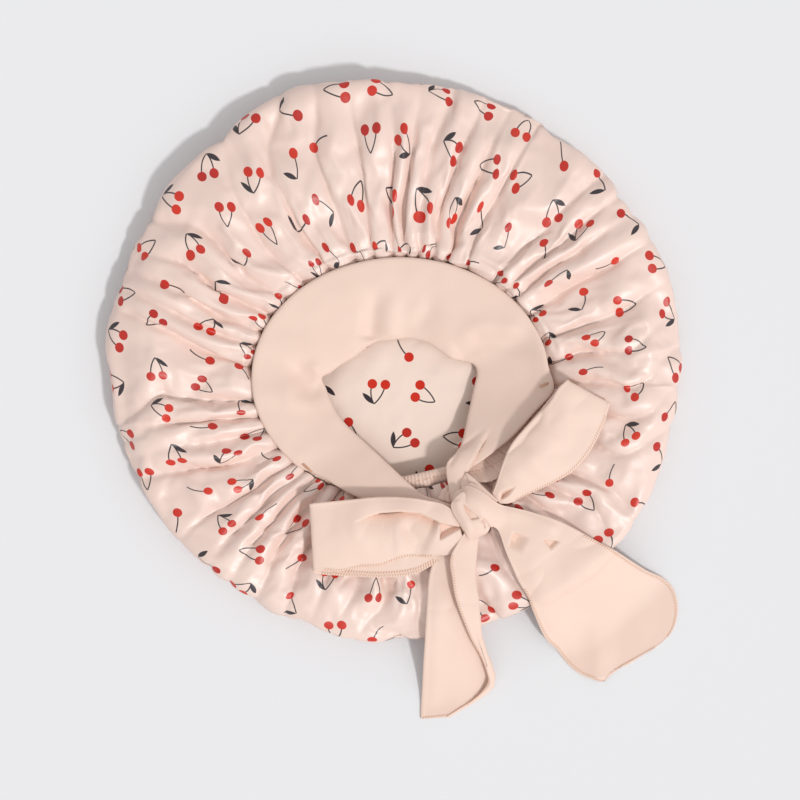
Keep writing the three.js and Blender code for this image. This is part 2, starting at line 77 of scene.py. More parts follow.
# Layers of noise round the crown: strength, cells round, cells from rim to seam, start and seed
pleat_width_noise = ((1.1, 23, 0, 0.5, 51), (0.6, 9, 0, 0.5, 52))
pleat_stray_noise = ((0.8, 19, 2.4, 0, 53),)
pleat_depth_noise = ((0.5, 37, 2, 3, 54),)
dent_noise = ((1, 23, 1.7, 0, 56), (0.7, 53, 3.1, 7, 57))
crease_noise = ((1, 47, 1.6, 5, 63),)
crease_shown_noise = ((1, 31, 2.2, 9, 64),)
lining_fold_noise = ((0.0008, 48, 3, 0, 77),)
# Noise from pleat to pleat: cells for each, start and seed
fold_side_noise = (0.5, 40, 61)
fold_length_noise = (0.7, 20, 62)

# Pleats of the crown
pleat_count = 44
pleat_depths = (0.002, 0.0098, 0.005)  # at the rim, over the arch and at the seam
pleat_sharpness = 0.36
seam_ditch = 0.0012  # depth of the groove at the seam
dent_depth = 0.003  # of the broad dents outside the pleats
fold_drop = 0.0028  # of the sharp step at a pleat's fold
fold_widths = (0.05, 0.15)  # of that step and of its way back, in pleats
fold_length_share = 0.5  # by which the noise changes how far a fold runs
fold_lengths = (0.2, 0.8)  # between which a fold comes in
crease_height = 0.0009
crease_width = 0.16  # as a share of the noise that places the creases
crown_columns = 640  # a power of two times the base's last ring
crown_base_rings = 7
crown_curl_rows = 8
crown_curl_share = 0.93  # of the curl, up to its last row
crown_arch_rows = 50
crown_frames = 20
crown_outline_px = (  # radius at each eight degrees
    (285, 284, 287, 282, 280, 280, 278, 279, 279, 277, 279, 278, 284, 287, 293)
    + (288, 285, 287, 288, 285, 287, 288, 294, 287, 288, 286, 284, 283, 282, 279)
    + (280, 279, 280, 283, 279, 280, 277, 280, 283, 285, 287, 287, 285, 283, 285)
)
outline_sectors = 90
ridge_reach = 12  # times that the top of a fold is looked for one column further to each side
ridge_smoothing = 30
crown_cloth_settings = {
    "vertex_group_mass": "pin",
    "shrink_min": -0.048,  # below zero, so the cloth is longer than its starting shape by this share
    "quality": 5,
    "mass": 0.02,
    "air_damping": 1.0,
    "tension_stiffness": 40.0,
    "compression_stiffness": 40.0,
    "shear_stiffness": 15.0,
    "bending_stiffness": 1.0,
    "tension_damping": 1.0,
    "compression_damping": 1.0,
    "shear_damping": 1.0,
    "bending_damping": 0.5,
}
# Where these come in or go: shares of the way from the rim, at 0, to the seam, at 1
pleat_deepening_shares = (0, 0.6)
pleat_end_shares = (0.7, 1)
ditch_shares = (0.93, 1)
dent_end_shares = (0.9, 0.4)
fold_start_shares = (0.05, 0.3)
crease_start_shares = (0, 0.25)
crease_end_shares = (1, 0.8)
crease_shown_values = (-0.1, 0.5)  # of the noise that shows them
outline_hold_shares = (1, 0.4)
ridge_start_shares = (0.02, 0.25)
ridge_end_shares = (1, 0.85)
# The same up the curl, from the surface, at 0, to the widest contour, at 1
pleat_start_shares = (0.2, 0.9)
dent_start_shares = (0.1, 0.9)
lie_half = 0.25  # of the square of cells that holds how high the crown is
lie_cell = 0.002
lie_spread = 2
lie_smoothing = 5

# Looks of the cloths: the two colours as they show, 0 to 255, roughness, gloss, sheen, thread pitch for a
# radian of its wave, thread depth, and for a printed cloth where its print starts
satin_look = (((242, 217, 205), (238, 209, 198)), 0.42, 0.75, 0.0, 0.0003, 0.00002, (0, 0))
lining_look = (((246, 224, 210), (243, 219, 205)), 0.6, 0.3, 0.0, 0.0003, 0.00002, (0.013, 0.006))
tie_look = (((241, 214, 199), (237, 207, 191)), 0.55, 0.3, 0.12, 0.0004, 0.00003)
thread_look = (((226, 182, 152), (220, 174, 144)), 0.7, 0.3, 0.1, 0.0002, 0.00005)
knit_look = (((240, 234, 226), (232, 226, 218)), 0.8, 0.2, 0.1, 0.0008, 0.0001)
sheen_roughness = 0.4
roughness_spread = 0.05
mottle_scale, mottle_detail = 24.0, 3.0
slub_scale, slub_detail = 900.0, 2.0
threads = ((45, 1.0), (-45, 0.6))  # which way they run, in degrees, and how strongly they show
thread_distortion = 1.0
wave_turn = 20  # of the wave texture at scale 1, in radians a metre
weave_strength = 0.5

# Print: fruits on stems, tossed on a staggered grid, each with its own place, turn and kind
fruit_colours = ((214, 42, 10), (184, 24, 10))
leaf_colour = (50, 40, 46)
print_cell = (0.032, 0.029)
print_columns = 35  # the print repeats after so many columns
print_jitter = 0.008
print_edge = 0.00016
fruit_radius = 0.0031
fruit_places = ((-0.0042, -0.0058), (0.0041, -0.0046))
stem_top = (0.0004, 0.0078)
stem_bends = (-0.0012, 0.0014)
stem_width = 0.00088
leaf_tip = (0.0091, 0.0024)
leaf_width = 0.0032
pair_share = 0.55
leafy_share = 0.5

# Cloths
station_least_step = 0.002
mm = 0.001
grid_margin = 1.001  # in cells, from a grid's size back to inside its last cell
band_thickness = 0.0018  # two plies
tie_thickness = 0.0008
bundle_thickness = 0.006  # the straps and ties squeezed together in the knot
edge_rounding = ((1, 0.85), (0, 0.35))  # rows in from a cloth's edge, and the share of its thickness there
ledge_width = 0.0008  # of a sharp drop
least_fade = 1e-6  # share of a line
thread_width = 0.00042
stitch_rings = 5
stitch_sides = 6
stitch_end_share = 0.5  # how thick a stitch is at its ends
stitch_sink_share = 0.4  # how far its ends go into the cloth, of its rise
stitch_rise_share = 0.6  # of the thread's width
# Stitches: pitch, length, and how far each is turned from the line of the row, in degrees
hem_stitch = (0.0017, 0.0019, 62)
top_stitch = (0.0021, 0.0015, 0)
tack_stitch = (0.0006, 0.0019, 80)

# Lining
lining_height = 0.0022
lining_reach = 0.9  # of the rim's radius, before it curls up
lining_first_share = 0.004  # of that radius, at the innermost ring
lining_columns = 200
lining_floor_rows = 60
lining_arch_rows = 24
lining_ripples = ((0.026, 0.0013, 70), (0.011, 0.0004, 74))
lining_puff = 0.005
lining_puff_reach = (0.085, 0.02)  # from the opening's middle
lining_dip = 0.0008
lining_back_shares = (0.06, 0.97)  # of the way from the rim to the seam
lining_sink_shares = (0, 0.35)
lining_sinks = (0.008, 0.015)  # how far it hangs under the crown's ridges, near the rim and further in
lining_curl_rise = 0.002
lining_top = 0.0095

# Band: outer and inner edge in pixels, the heights there and the dome between, in millimetres,
# from the right strap's end at the knot round the opening to the left strap's end
band_stations = (
    ((462, 503), (451, 501), 33, 32.5, 0.5),
    ((462, 487), (448, 486), 31.5, 31, 0.8),
    ((467, 471), (446, 464), 29, 28.5, 1.2),
    ((486, 457), (456, 452), 27.6, 25.5, 1.2),
    ((511, 437), (462, 441), 27.4, 20.5, 1),
    ((533, 413), (468, 414), 27.4, 16, 0.4),
    ((552, 390), (473, 391), 27.4, 13.2, 0),
    ((547.5, 368), (477, 373), 26, 12.2, 0),
    ((542.3, 345), (473, 364), 24.4, 12.6, 0.4),
    ((530.7, 322), (461, 361), 22.8, 13.6, 1.4),
    ((513.5, 301), (450, 358), 22.2, 15.4, 1.8),
    ((487, 281), (437, 349), 22.2, 15.6, 1.8),
    ((450.7, 265.2), (424, 341.5), 22.2, 15, 1.8),
    ((410.4, 258.2), (408, 338.5), 22.2, 14.8, 1.8),
    ((374.4, 259.8), (391, 340.5), 22.2, 15.4, 1.8),
    ((340, 268.3), (377, 341.5), 22.2, 15.4, 1.8),
    ((313, 280.8), (366, 348), 22.2, 15, 1.8),
    ((290.2, 297.7), (355, 357), 22.2, 14.8, 1.8),
    ((272, 318), (341, 365), 22.2, 15.2, 1.8),
    ((261.2, 337), (330, 373), 22.2, 15.4, 1.8),
    ((254.4, 357.3), (322, 378), 22.2, 15, 1.5),
    ((252.2, 378.3), (326, 388), 22.2, 15, 1.5),
    ((254.4, 399.3), (330, 399), 22.2, 15.4, 1.8),
    ((261.2, 419.6), (336, 411), 22.2, 15.4, 1.8),
    ((272, 438.6), (344, 422), 22.2, 15.6, 1.8),
    ((286.8, 455.8), (354, 432), 22.4, 16.5, 1.8),
    ((301.2, 468), (364, 441), 21.8, 18, 1.8),
    ((322, 476), (377, 453), 23.4, 20, 1.5),
    ((345, 490), (392, 467), 27, 23, 1),
    ((372, 502), (407, 481), 28.4, 26, 0.8),
    ((402, 511), (423, 494), 29.6, 28.5, 0.6),
    ((430, 514), (438, 499), 31, 31, 0.5),
    ((452, 515), (452, 504), 33, 33, 0.3),
)
band_grid = (340, 30)

# Seam allowance and bar tacks
allowance_grid = (240, 6)
allowance_inset = 0.0012
allowance_top = 0.0195
allowance_width = 0.0048
allowance_thickness = 0.0012
allowance_wave = 0.0004
allowance_wave_turn = 300  # over the whole seam, in radians
tack_points = 12
tack_lift = 0.0001
tack_places = {
    "bar_tack_right": ((538, 387), (548, 383)),
    "bar_tack_left": ((303, 463), (312, 472)),
}

# Casing
casing_grid = (520, 36)
casing_width = 0.0095
casing_height = 0.006
casing_top = 0.0206
casing_ribs = 60
casing_rib_stray = (0.9, 17, 90)  # in ribs, cells along the casing, seed
casing_rib_sharpness = 0.6
casing_rib_depth = 0.0011
casing_rib_plan_share = 0.3  # of a rib's depth, that shows from above
casing_dent_cells = (40, 1.5, 9, 92)  # along, across, start, seed
casing_dent_share = 0.25
casing_dent_depth = 0.0002
casing_shown_degs = (226, 350)
casing_gather_every = 4  # ribs between the long gathers beside the strap
casing_gather_sharpness = 0.3
casing_gather_depth = 0.0014
casing_gather_rib_share = 0.3
casing_spread_degs = ((298, 312), (336, 326))  # where it spreads out over the crown's edge
casing_spread = 0.0095
casing_thinning_share = 0.65
casing_clearance = 0.0022
casing_over_values = (-0.3, 1)  # of the sine round it, where it goes over the crown

# Bow
knot_px = (469, 512)
knot_height = 0.0385  # of the knot's middle
knot_sink = 0.006  # of the ties in the knot, under its middle
knot_settle = (0.026, 0.006)  # distances between which a tie comes up to the knot
tail_leave = 0.022  # where a tail leaves the crown, inside the rim
tail_fall = 0.045  # where it reaches the surface, outside the rim
lie_gap = 0.0007  # between a tie and the ridges that it lies on
hem_cells = 3  # a hem's width, in cells of a tie's grid
hem_growth_share = 0.7
hem_points = 240
hem_lift_share = 0.8  # of a tie's thickness
loop_top_shares = (0.46, 0.54)  # where a loop turns back and its upper side starts
loop_edge_wave = 0.0008
loop_edge_wave_turn = 260  # in radians a metre
loop_edge_share = 0.12
flap_turns = 9
flap_bulge_share = 0.8
tail_gap = 0.0001  # least, between a tail and the surface

# Ties and pieces of the knot: left and right edge in pixels, the lifts there and the dome between, in mm
left_loop_stations = (
    ((462, 541), (456, 514), 0.5, 0.5, 0),
    ((449, 553), (445, 507), 0, 2, 0),
    ((434, 562), (425, 501), 0, 6, 0.2),
    ((414, 572), (398, 499), 0, 7, 0.3),
    ((384, 575.5), (370, 500), 0, 7, 0.3),
    ((350, 574), (342, 502), 0, 7, 0.2),
    ((326, 572.5), (324, 503), 0.1, 7, 0),
    ((317, 571), (314.5, 503), 0.9, 8.5, 0),
    ((315.2, 570), (311.5, 502.5), 2, 11, 0),
    ((318, 569), (314, 501.5), 2.8, 13, 0.5),
    ((330, 568.5), (328, 500), 2.8, 14, 1.5),
    ((352, 567), (352, 497.8), 2.4, 14.6, 2.4),
    ((384, 561.5), (380, 495.3), 2.2, 14.6, 3),
    ((412, 554), (408, 496), 2.2, 14, 3),
    ((430, 555), (428, 499), 2.6, 12.6, 2.6),
    ((446, 553), (443, 502.5), 3.2, 9.6, 1.6),
    ((464, 545), (456, 512), 3, 6, 0.5),
)
right_loop_stations = (
    ((489, 493), (498, 502), 0.3, 0.3, 0),
    ((497, 476), (514, 499), 3, 0, 0.2),
    ((505, 455), (534, 488), 5.5, 0, 0.3),
    ((520, 432), (556, 476), 7, 0, 0.3),
    ((538, 411), (574, 464), 7, 0, 0.3),
    ((550, 396), (590, 440), 7, 0, 0.2),
    ((558, 387), (602, 412), 7, 0.1, 0),
    ((563, 382), (606, 405), 8.5, 1, 0),
    ((564, 380.5), (607, 404), 11, 2, 0),
    ((561, 383), (605.5, 409), 13, 2.6, 0.4),
    ((555, 389), (601, 424), 14, 2.4, 1.4),
    ((546, 403), (588, 450), 15, 2.2, 2.2),
    ((528, 422), (571, 470), 15.6, 2.2, 2.8),
    ((510, 443), (549, 483), 15, 2.4, 2.8),
    ((501, 463), (527, 493), 12, 2.8, 2.2),
    ((496, 480), (509, 501.5), 8, 3.4, 1.2),
    ((491, 493), (498, 502), 4.5, 3.6, 0.3),
)
left_tail_stations = (
    ((464, 526), (478, 526), 1, 1, 0.6),
    ((452, 541), (476, 541), -0.5, 0.5, 0.8),
    ((436, 556), (473.5, 560), 0, 0.4, 0.6),
    ((429, 572), (473.6, 577), 0, 0.2, 0.4),
    ((426.5, 601), (475.5, 602), 0, 0, 0.4),
    ((424.5, 640), (479, 637), 0, 0, 0.4),
    ((423, 668), (486, 660), 0, 0, 0.4),
    ((422, 690), (490, 675), 0, 0, 0.4),
    ((421, 706), (491, 687), 0, 0, 0.3),
    ((420.6, 716), (478, 700), 0, 0, 0.1),
    ((421, 721), (448, 719.5), 0, 0, 0),
)
left_flap_stations = (
    ((476, 526), (467, 526), 2.4, 2.6, 0.2),
    ((474, 541), (457, 540), 2.2, 4, 0.3),
    ((472, 560), (449.5, 556), 2, 6, 0.4),
    ((472, 577), (451.5, 577), 1.8, 7, 0.6),
    ((474, 602), (456, 600), 1.6, 6.4, 0.6),
    ((477.5, 637), (471, 638), 1.6, 4.6, 0.3),
    ((484.5, 660), (482, 657), 1.5, 3, 0.2),
    ((488.5, 675), (487.5, 672), 1.3, 1.6, 0),
    ((489.5, 687), (488.5, 684), 1, 1, 0),
    ((476.5, 700), (475.5, 700), 0.8, 0.8, 0),
    ((447, 719.5), (446, 719.5), 0.5, 0.5, 0),
)
right_tail_stations = (
    ((462, 489.5), (460.5, 492), 8, 8, 0),
    ((464, 486.5), (461, 501), 9.4, 8.6, 0.6),
    ((468.5, 485), (466, 505.5), 10.4, 9.8, 1.0),
    ((476, 487.5), (474, 511.5), 10.6, 9.8, 1.2),
    ((484, 492.5), (480, 517.5), 9.6, 8.6, 1.6),
    ((492, 499), (487, 524), 7.6, 6, 1.8),
    ((500, 503.5), (493, 525.5), 5.4, 4, 1.4),
    ((512, 506.3), (498, 531), 3.4, 2, 1),
    ((532, 511), (504, 549), 1.2, 0.8, 0.8),
    ((556, 519), (512, 568), 0.4, 0.2, 0.5),
    ((573.6, 527.5), (518, 581), 0, 0, 0.5),
    ((594, 539), (526.5, 595), 0, 0, 0.4),
    ((613, 549), (533, 612), 0, 0, 0.4),
    ((633, 562), (545, 638), 0, 0, 0.3),
    ((648.6, 571.5), (557.5, 651), 0, 0, 0.3),
    ((664.6, 579), (568, 665), 0, 0, 0.2),
    ((675.4, 590), (580.7, 675.7), 0, 0, 0.1),
    ((680, 609), (594, 681), 0, 0, 0),
    ((676, 629), (604, 683), 0, 0, 0),
    ((664.6, 643.6), (613, 673), 0, 0, 0),
    ((648.6, 654), (631, 666), 0, 0, 0),
)
wrap_stations = (
    ((460, 491), (463, 490), 2.6, 3, 0),
    ((454.5, 496), (466, 497), 3, 3.4, 0.6),
    ((450.2, 502), (470, 503), 2.6, 3.6, 1.2),
    ((451, 508.5), (475, 509), 2.2, 3.4, 1.8),
    ((454.5, 515.5), (481, 514.5), 2, 3, 2.2),
    ((459, 522), (486, 519.5), 2, 2.6, 2.4),
    ((463, 528), (488.4, 523.5), 1.4, 1.8, 2),
    ((466, 534), (487, 529), 0, 0.4, 1.4),
    ((469, 538.6), (482, 533), -3, -2.5, 0.5),
)
bundle_stations = (
    ((470, 482), (455, 492), -5, -5, 0.5),
    ((480, 488), (453, 502), -3.5, -3, 1.5),
    ((486, 500), (455, 514), -2.5, -2.5, 2.5),
    ((488, 512), (460, 524), -2.5, -2.5, 2.5),
    ((486, 520), (466, 532), -3.5, -3.5, 1.5),
    ((480, 528), (470, 535), -5, -5, 0.5),
)
strap_tuck_stations = (
    ((465.5, 471.5), (461, 478), -7.5, -8, 0.3),
    ((472, 476), (460.5, 486), -6, -5, 0.6),
    ((480, 483.5), (467, 492), -4.5, -3, 0.8),
    ((488, 491), (477, 499), -3.5, -2.5, 0.8),
    ((497, 499), (489, 507), -3, -3, 0.3),
)
casing_tuck_stations = (
    ((447, 485), (454, 487), -12, -11, 0.3),
    ((441, 490), (453, 494), -11.5, -9, 0.8),
    ((437.5, 498), (454, 503), -11, -8, 0.8),
)


def plan(px, py):
    """The place in plan under a pixel of the photograph."""
    return np.stack(
        [
            (np.asarray(px, float) - middle_px[0]) * metres_per_px,
            (middle_px[1] - np.asarray(py, float)) * metres_per_px,
        ],
        -1,
    )


def smooth(low, high, x):
    share = np.clip((x - low) / (high - low), 0, 1)
    return share * share * (3 - 2 * share)


def mix(a, b, share):
    return a + (b - a) * share


def curve_at(xs, ys, x):
    """The smooth curve through the points (xs, ys), at the places x. Each of ys is a number or a row."""
    xs, ys, x = np.asarray(xs, float), np.asarray(ys, float), np.asarray(x, float)
    slopes = np.gradient(ys, xs, axis=0)
    i = np.clip(np.searchsorted(xs, x), 1, len(xs) - 1)
    span = xs[i] - xs[i - 1]
    t = np.clip((x - xs[i - 1]) / span, 0, 1)[..., None]
    rise = t * t * (3 - 2 * t)
    bend_in = t * (1 - t) * (1 - t) * span[..., None]
    bend_out = t * t * (t - 1) * span[..., None]
    return mix(ys[i - 1], ys[i], rise) + bend_in * slopes[i - 1] + bend_out * slopes[i]


noise_cells = 256


def noise(u, v, seed, period=noise_cells):
    """Smooth noise from -1 to 1 over the plane. It repeats in u after a number of cells."""
    table = np.random.default_rng(seed).uniform(-1, 1, (noise_cells, noise_cells))
    column, row = np.floor(u).astype(int), np.floor(v).astype(int)
    across, up = smooth(0, 1, u - column), smooth(0, 1, v - row)

    def at(i, j):
        return table[(i % period) % noise_cells, j % noise_cells]

    low = mix(at(column, row), at(column + 1, row), across)
    high = mix(at(column, row + 1), at(column + 1, row + 1), across)
    return mix(low, high, up)


def unit(vectors):
    return vectors / np.maximum(np.linalg.norm(vectors, axis=-1, keepdims=True), 1e-12)


def passed_along(line):
    """How much of a line of points has been passed at each of them."""
    return np.concatenate([[0], np.cumsum(np.linalg.norm(np.diff(line, axis=0), axis=-1))])


def raised(place, height):
    """Points over places in plan."""
    return np.concatenate([place, np.broadcast_to(height, place.shape[:-1])[..., None]], -1)


def normals_of(points, ring=False):
    """Unit normals of a grid of points. In a ring, the last column meets the first."""
    down = np.gradient(points, axis=0)
    if ring:
        along = np.roll(points, -1, 1) - np.roll(points, 1, 1)
    else:
        along = np.gradient(points, axis=1)
    return unit(np.cross(along, down))


def grid_faces(rows, columns, ring=False):
    """Faces of a grid of points. In a ring, the last column meets the first."""
    index = np.arange(rows * columns).reshape(rows, columns)
    if ring:
        index = np.hstack([index, index[:, :1]])
    corners = [index[:-1, :-1], index[:-1, 1:], index[1:, 1:], index[1:, :-1]]
    return np.stack(corners, -1).reshape(-1, 4)


def tube_faces(rings, sides):
    """Faces of a tube of rings, closed at both ends."""
    last = (rings - 1) * sides
    ends = [list(range(sides))[::-1], [last + j for j in range(sides)]]
    return grid_faces(rings, sides, ring=True).tolist() + ends


def mesh_object(name, points, faces, material, corner_uvs=None):
    mesh = bpy.data.meshes.new(name)
    mesh.from_pydata(np.asarray(points).reshape(-1, 3).tolist(), [], [list(face) for face in faces])
    mesh.update()
    if corner_uvs is not None:
        layer = mesh.uv_layers.new(name="fabric")
        layer.data.foreach_set("uv", np.asarray(corner_uvs, np.float32).reshape(-1))
    mesh.polygons.foreach_set("use_smooth", [True] * len(mesh.polygons))
    mesh.materials.append(material)
    piece = bpy.data.objects.new(name, mesh)
    bpy.context.scene.collection.objects.link(piece)
    return piece


def dress(piece, body, nodes=()):
    """Gives a piece its body, and takes the place of some of the part's solids."""
    if nodes:
        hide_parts(*nodes)
    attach(piece, body)


def linear(colour):
    """A colour as it shows, 0 to 255, as the renderer's linear one."""
    shares = [channel / 255 for channel in colour]
    return tuple(c / 12.92 if c <= 0.04045 else ((c + 0.055) / 1.055) ** 2.4 for c in shares) + (1,)


# Materials


def put(tree, value, socket):
    if isinstance(value, bpy.types.NodeSocket):
        tree.links.new(value, socket)
    else:
        socket.default_value = value


def add_node(tree, kind, inputs=(), **settings):
    node = tree.nodes.new(kind)
    for name, value in settings.items():
        setattr(node, name, value)
    for socket, value in dict(inputs).items():
        put(tree, value, node.inputs[socket])
    return node


def number(tree, operation, *values):
    return add_node(tree, "ShaderNodeMath", enumerate(values), operation=operation).outputs[0]


def vector(tree, operation, *values):
    node = add_node(tree, "ShaderNodeVectorMath", enumerate(values), operation=operation)
    measures = ("LENGTH", "DISTANCE", "DOT_PRODUCT")
    return node.outputs["Value" if operation in measures else "Vector"]


def blend_colour(tree, share, colour, other):
    inputs = {"Factor": share, 6: colour, 7: other}
    return add_node(tree, "ShaderNodeMix", inputs, data_type="RGBA").outputs[2]


def edge_mask(tree, inside, softness):
    """1 where a distance inside an edge is positive, 0 outside, with a soft step between."""
    inputs = {"Value": inside, "From Min": -softness, "From Max": softness}
    return add_node(tree, "ShaderNodeMapRange", inputs, interpolation_type="SMOOTHSTEP").outputs[0]


def turned(tree, place, angle):
    inputs = {"Vector": place, "Angle": angle}
    return add_node(tree, "ShaderNodeVectorRotate", inputs, rotation_type="Z_AXIS").outputs[0]


def disc(tree, place, centre, radius):
    """How far inside a disc a place is."""
    return number(tree, "SUBTRACT", radius, vector(tree, "DISTANCE", place, (*centre, 0)))


def arc_circle(start, end, bend):
    """Centre and radius of the circle through two points that bows out sideways between them by bend."""
    start, end = np.array(start), np.array(end)
    chord = end - start
    length = np.linalg.norm(chord)
    side = np.array((-chord[1], chord[0])) / length
    radius = (length * length / 4 + bend * bend) / (2 * abs(bend))
    return (start + end) / 2 + side * (bend - math.copysign(radius, bend)), radius


def stem_mask(tree, place, start, end, bend):
    centre, radius = arc_circle(start, end, bend)
    off_line = number(tree, "ABSOLUTE", disc(tree, place, centre, radius))
    on_line = number(tree, "SUBTRACT", stem_width / 2, off_line)
    chord = np.array(end) - np.array(start)
    half = float(np.linalg.norm(chord)) / 2
    middle = (np.array(start) + np.array(end)) / 2
    near = disc(tree, place, middle, half)
    return edge_mask(tree, number(tree, "MINIMUM", on_line, near), print_edge)


def leaf_mask(tree, place):
    bends = (-leaf_width / 2, leaf_width / 2)
    sides = [disc(tree, place, *arc_circle(stem_top, leaf_tip, bend)) for bend in bends]
    return edge_mask(tree, number(tree, "MINIMUM", *sides), print_edge)


def cherry_print(tree, fabric, cloth_colour, start):
    """The cloth's colour with the print on it."""
    half_cell = (0.5, 0.5, 0)
    scaled = vector(tree, "DIVIDE", vector(tree, "ADD", fabric, (*start, 0)), (*print_cell, 1))
    split = add_node(tree, "ShaderNodeSeparateXYZ", {0: scaled}).outputs
    shift = number(tree, "MULTIPLY", number(tree, "MODULO", number(tree, "FLOOR", split[1]), 2.0), 0.5)
    shifted = {0: number(tree, "ADD", split[0], shift), 1: split[1]}
    staggered = add_node(tree, "ShaderNodeCombineXYZ", shifted).outputs[0]
    corner = vector(tree, "FLOOR", staggered)
    positive = vector(tree, "ADD", corner, (print_columns, print_columns, 0))
    drawn = vector(tree, "MODULO", positive, (print_columns,) * 3)

    def draws(at):
        inputs = {"Vector": at}
        return add_node(tree, "ShaderNodeTexWhiteNoise", inputs, noise_dimensions="2D").outputs

    toss = draws(drawn)
    kind = draws(vector(tree, "ADD", drawn, half_cell))["Color"]
    pair, leafy, fruit_tone = add_node(tree, "ShaderNodeSeparateColor", {0: kind}).outputs
    centred = vector(tree, "SUBTRACT", vector(tree, "SUBTRACT", staggered, corner), half_cell)
    jitter = vector(tree, "SUBTRACT", toss["Color"], half_cell)
    jitter = vector(tree, "MULTIPLY", jitter, (print_jitter, print_jitter, 0))
    local = vector(tree, "SUBTRACT", vector(tree, "MULTIPLY", centred, (*print_cell, 0)), jitter)
    place = turned(tree, local, number(tree, "MULTIPLY", toss["Value"], full_turn))
    present = (1.0, number(tree, "LESS_THAN", pair, pair_share))
    fruits, stems = [], []
    for centre, bend, shown in zip(fruit_places, stem_bends, present):
        fruit = edge_mask(tree, disc(tree, place, centre, fruit_radius), print_edge)
        fruits.append(number(tree, "MULTIPLY", fruit, shown))
        stems.append(number(tree, "MULTIPLY", stem_mask(tree, place, stem_top, centre, bend), shown))
    leaf = number(tree, "MULTIPLY", leaf_mask(tree, place), number(tree, "LESS_THAN", leafy, leafy_share))
    dark = number(tree, "MAXIMUM", number(tree, "MAXIMUM", *stems), leaf)
    with_leaves = blend_colour(tree, dark, cloth_colour, linear(leaf_colour))
    fruit_colour = blend_colour(tree, fruit_tone, *map(linear, fruit_colours))
    return blend_colour(tree, number(tree, "MAXIMUM", *fruits), with_leaves, fruit_colour)


def new_material(name):
    material = bpy.data.materials.new(name)
    material.use_nodes = True
    tree = material.node_tree
    return material, tree, tree.nodes["Principled BSDF"]


def thread_height(tree, place, pitch):
    """A woven surface's height: threads one way, crossed by fainter ones, with a little unevenness."""
    ridges = []
    for turn_deg, strength in threads:
        inputs = {"Vector": turned(tree, place, math.radians(turn_deg))}
        inputs |= {"Scale": 1 / (wave_turn * pitch), "Distortion": thread_distortion}
        wave = add_node(tree, "ShaderNodeTexWave", inputs).outputs["Fac"]
        ridges.append(number(tree, "MULTIPLY", wave, strength))
    return number(tree, "ADD", *ridges)


def cloth_material(name, colours, roughness, gloss, sheen, thread_pitch, thread_depth, print_start=None):
    """Woven cloth. Its print and threads lie on the fabric map where it is printed, else on its place."""
    material, tree, shader = new_material(name)

    def texture(place, scale, detail):
        inputs = {"Vector": place, "Scale": scale, "Detail": detail}
        return add_node(tree, "ShaderNodeTexNoise", inputs).outputs[0]

    place = fabric = add_node(tree, "ShaderNodeTexCoord").outputs["Object"]
    if print_start:
        fabric = add_node(tree, "ShaderNodeUVMap", uv_map="fabric").outputs[0]
    mottle = texture(place, mottle_scale, mottle_detail)
    cloth = blend_colour(tree, mottle, linear(colours[1]), linear(colours[0]))
    if print_start:
        cloth = cherry_print(tree, fabric, cloth, print_start)
    put(tree, cloth, shader.inputs["Base Color"])
    slub = texture(fabric, slub_scale, slub_detail)
    rough = {"Value": slub, "To Min": roughness - roughness_spread, "To Max": roughness + roughness_spread}
    put(tree, add_node(tree, "ShaderNodeMapRange", rough).outputs[0], shader.inputs["Roughness"])
    height = number(tree, "ADD", thread_height(tree, fabric, thread_pitch), slub)
    bump = {"Height": height, "Distance": thread_depth, "Strength": weave_strength}
    put(tree, add_node(tree, "ShaderNodeBump", bump).outputs[0], shader.inputs["Normal"])
    shader.inputs["Specular IOR Level"].default_value = gloss
    shader.inputs["Sheen Weight"].default_value = sheen
    shader.inputs["Sheen Roughness"].default_value = sheen_roughness
    return material


satin = cloth_material("printed_satin", *satin_look)
lining_satin = cloth_material("lining_satin", *lining_look)
tie_cloth = cloth_material("tie_cloth", *tie_look)
thread = cloth_material("thread", *thread_look)
knit = cloth_material("knitted_elastic", *knit_look)


# Plan of the crown and of its opening


def around(angle, radius):
    return np.stack([np.cos(angle), np.sin(angle)], -1) * np.asarray(radius)[..., None]


def rim_radius(angle):
    waves = sum(share * np.cos(count * angle + phase) for count, phase, share in rim_waves)
    return crown_radius * (1 + waves)


def opening_radius(angle):
    return 1 / np.hypot(np.cos(angle) / opening_half[0], np.sin(angle) / opening_half[1])


def seam_radius(angle):
    """The opening's edge, drawn in where it is elasticated."""
    middle = math.radians(sum(casing_degs) / 2)
    half = math.radians(casing_degs[1] - casing_degs[0]) / 2
    off = np.abs(np.arctan2(np.sin(angle - middle), np.cos(angle - middle)))
    return opening_radius(angle) - opening_pull * smooth(half, 0, off)


def crown_arch(angle, across):
    """The crown's ridge line from the rim, at 0, over the arch to the seam, at 1."""
    rim = around(angle, rim_radius(angle))
    seam = around(angle, seam_radius(angle)) + opening_middle
    place = mix(rim, seam, across[..., None])
    left = np.clip(1 - across / arch_share, 0, 1)
    rising = rim_height + (arch_height - rim_height) * np.sqrt(1 - left * left)
    down = (across - arch_share) / (1 - arch_share)
    falling = arch_height - (arch_height - seam_height) * down * down
    height = np.where(across < arch_share, rising, falling)
    return np.concatenate([place, height[..., None]], -1)


def crown_curl(angle, turn):
    """The curl under the rim, from the surface, at 0, to the widest contour, at 1."""
    bend = turn * math.pi / 2
    place = around(angle, rim_radius(angle) - rim_tuck * (1 - np.sin(bend)))
    height = mix(base_height, rim_height, 1 - np.cos(bend))
    return np.concatenate([place, height[..., None]], -1)


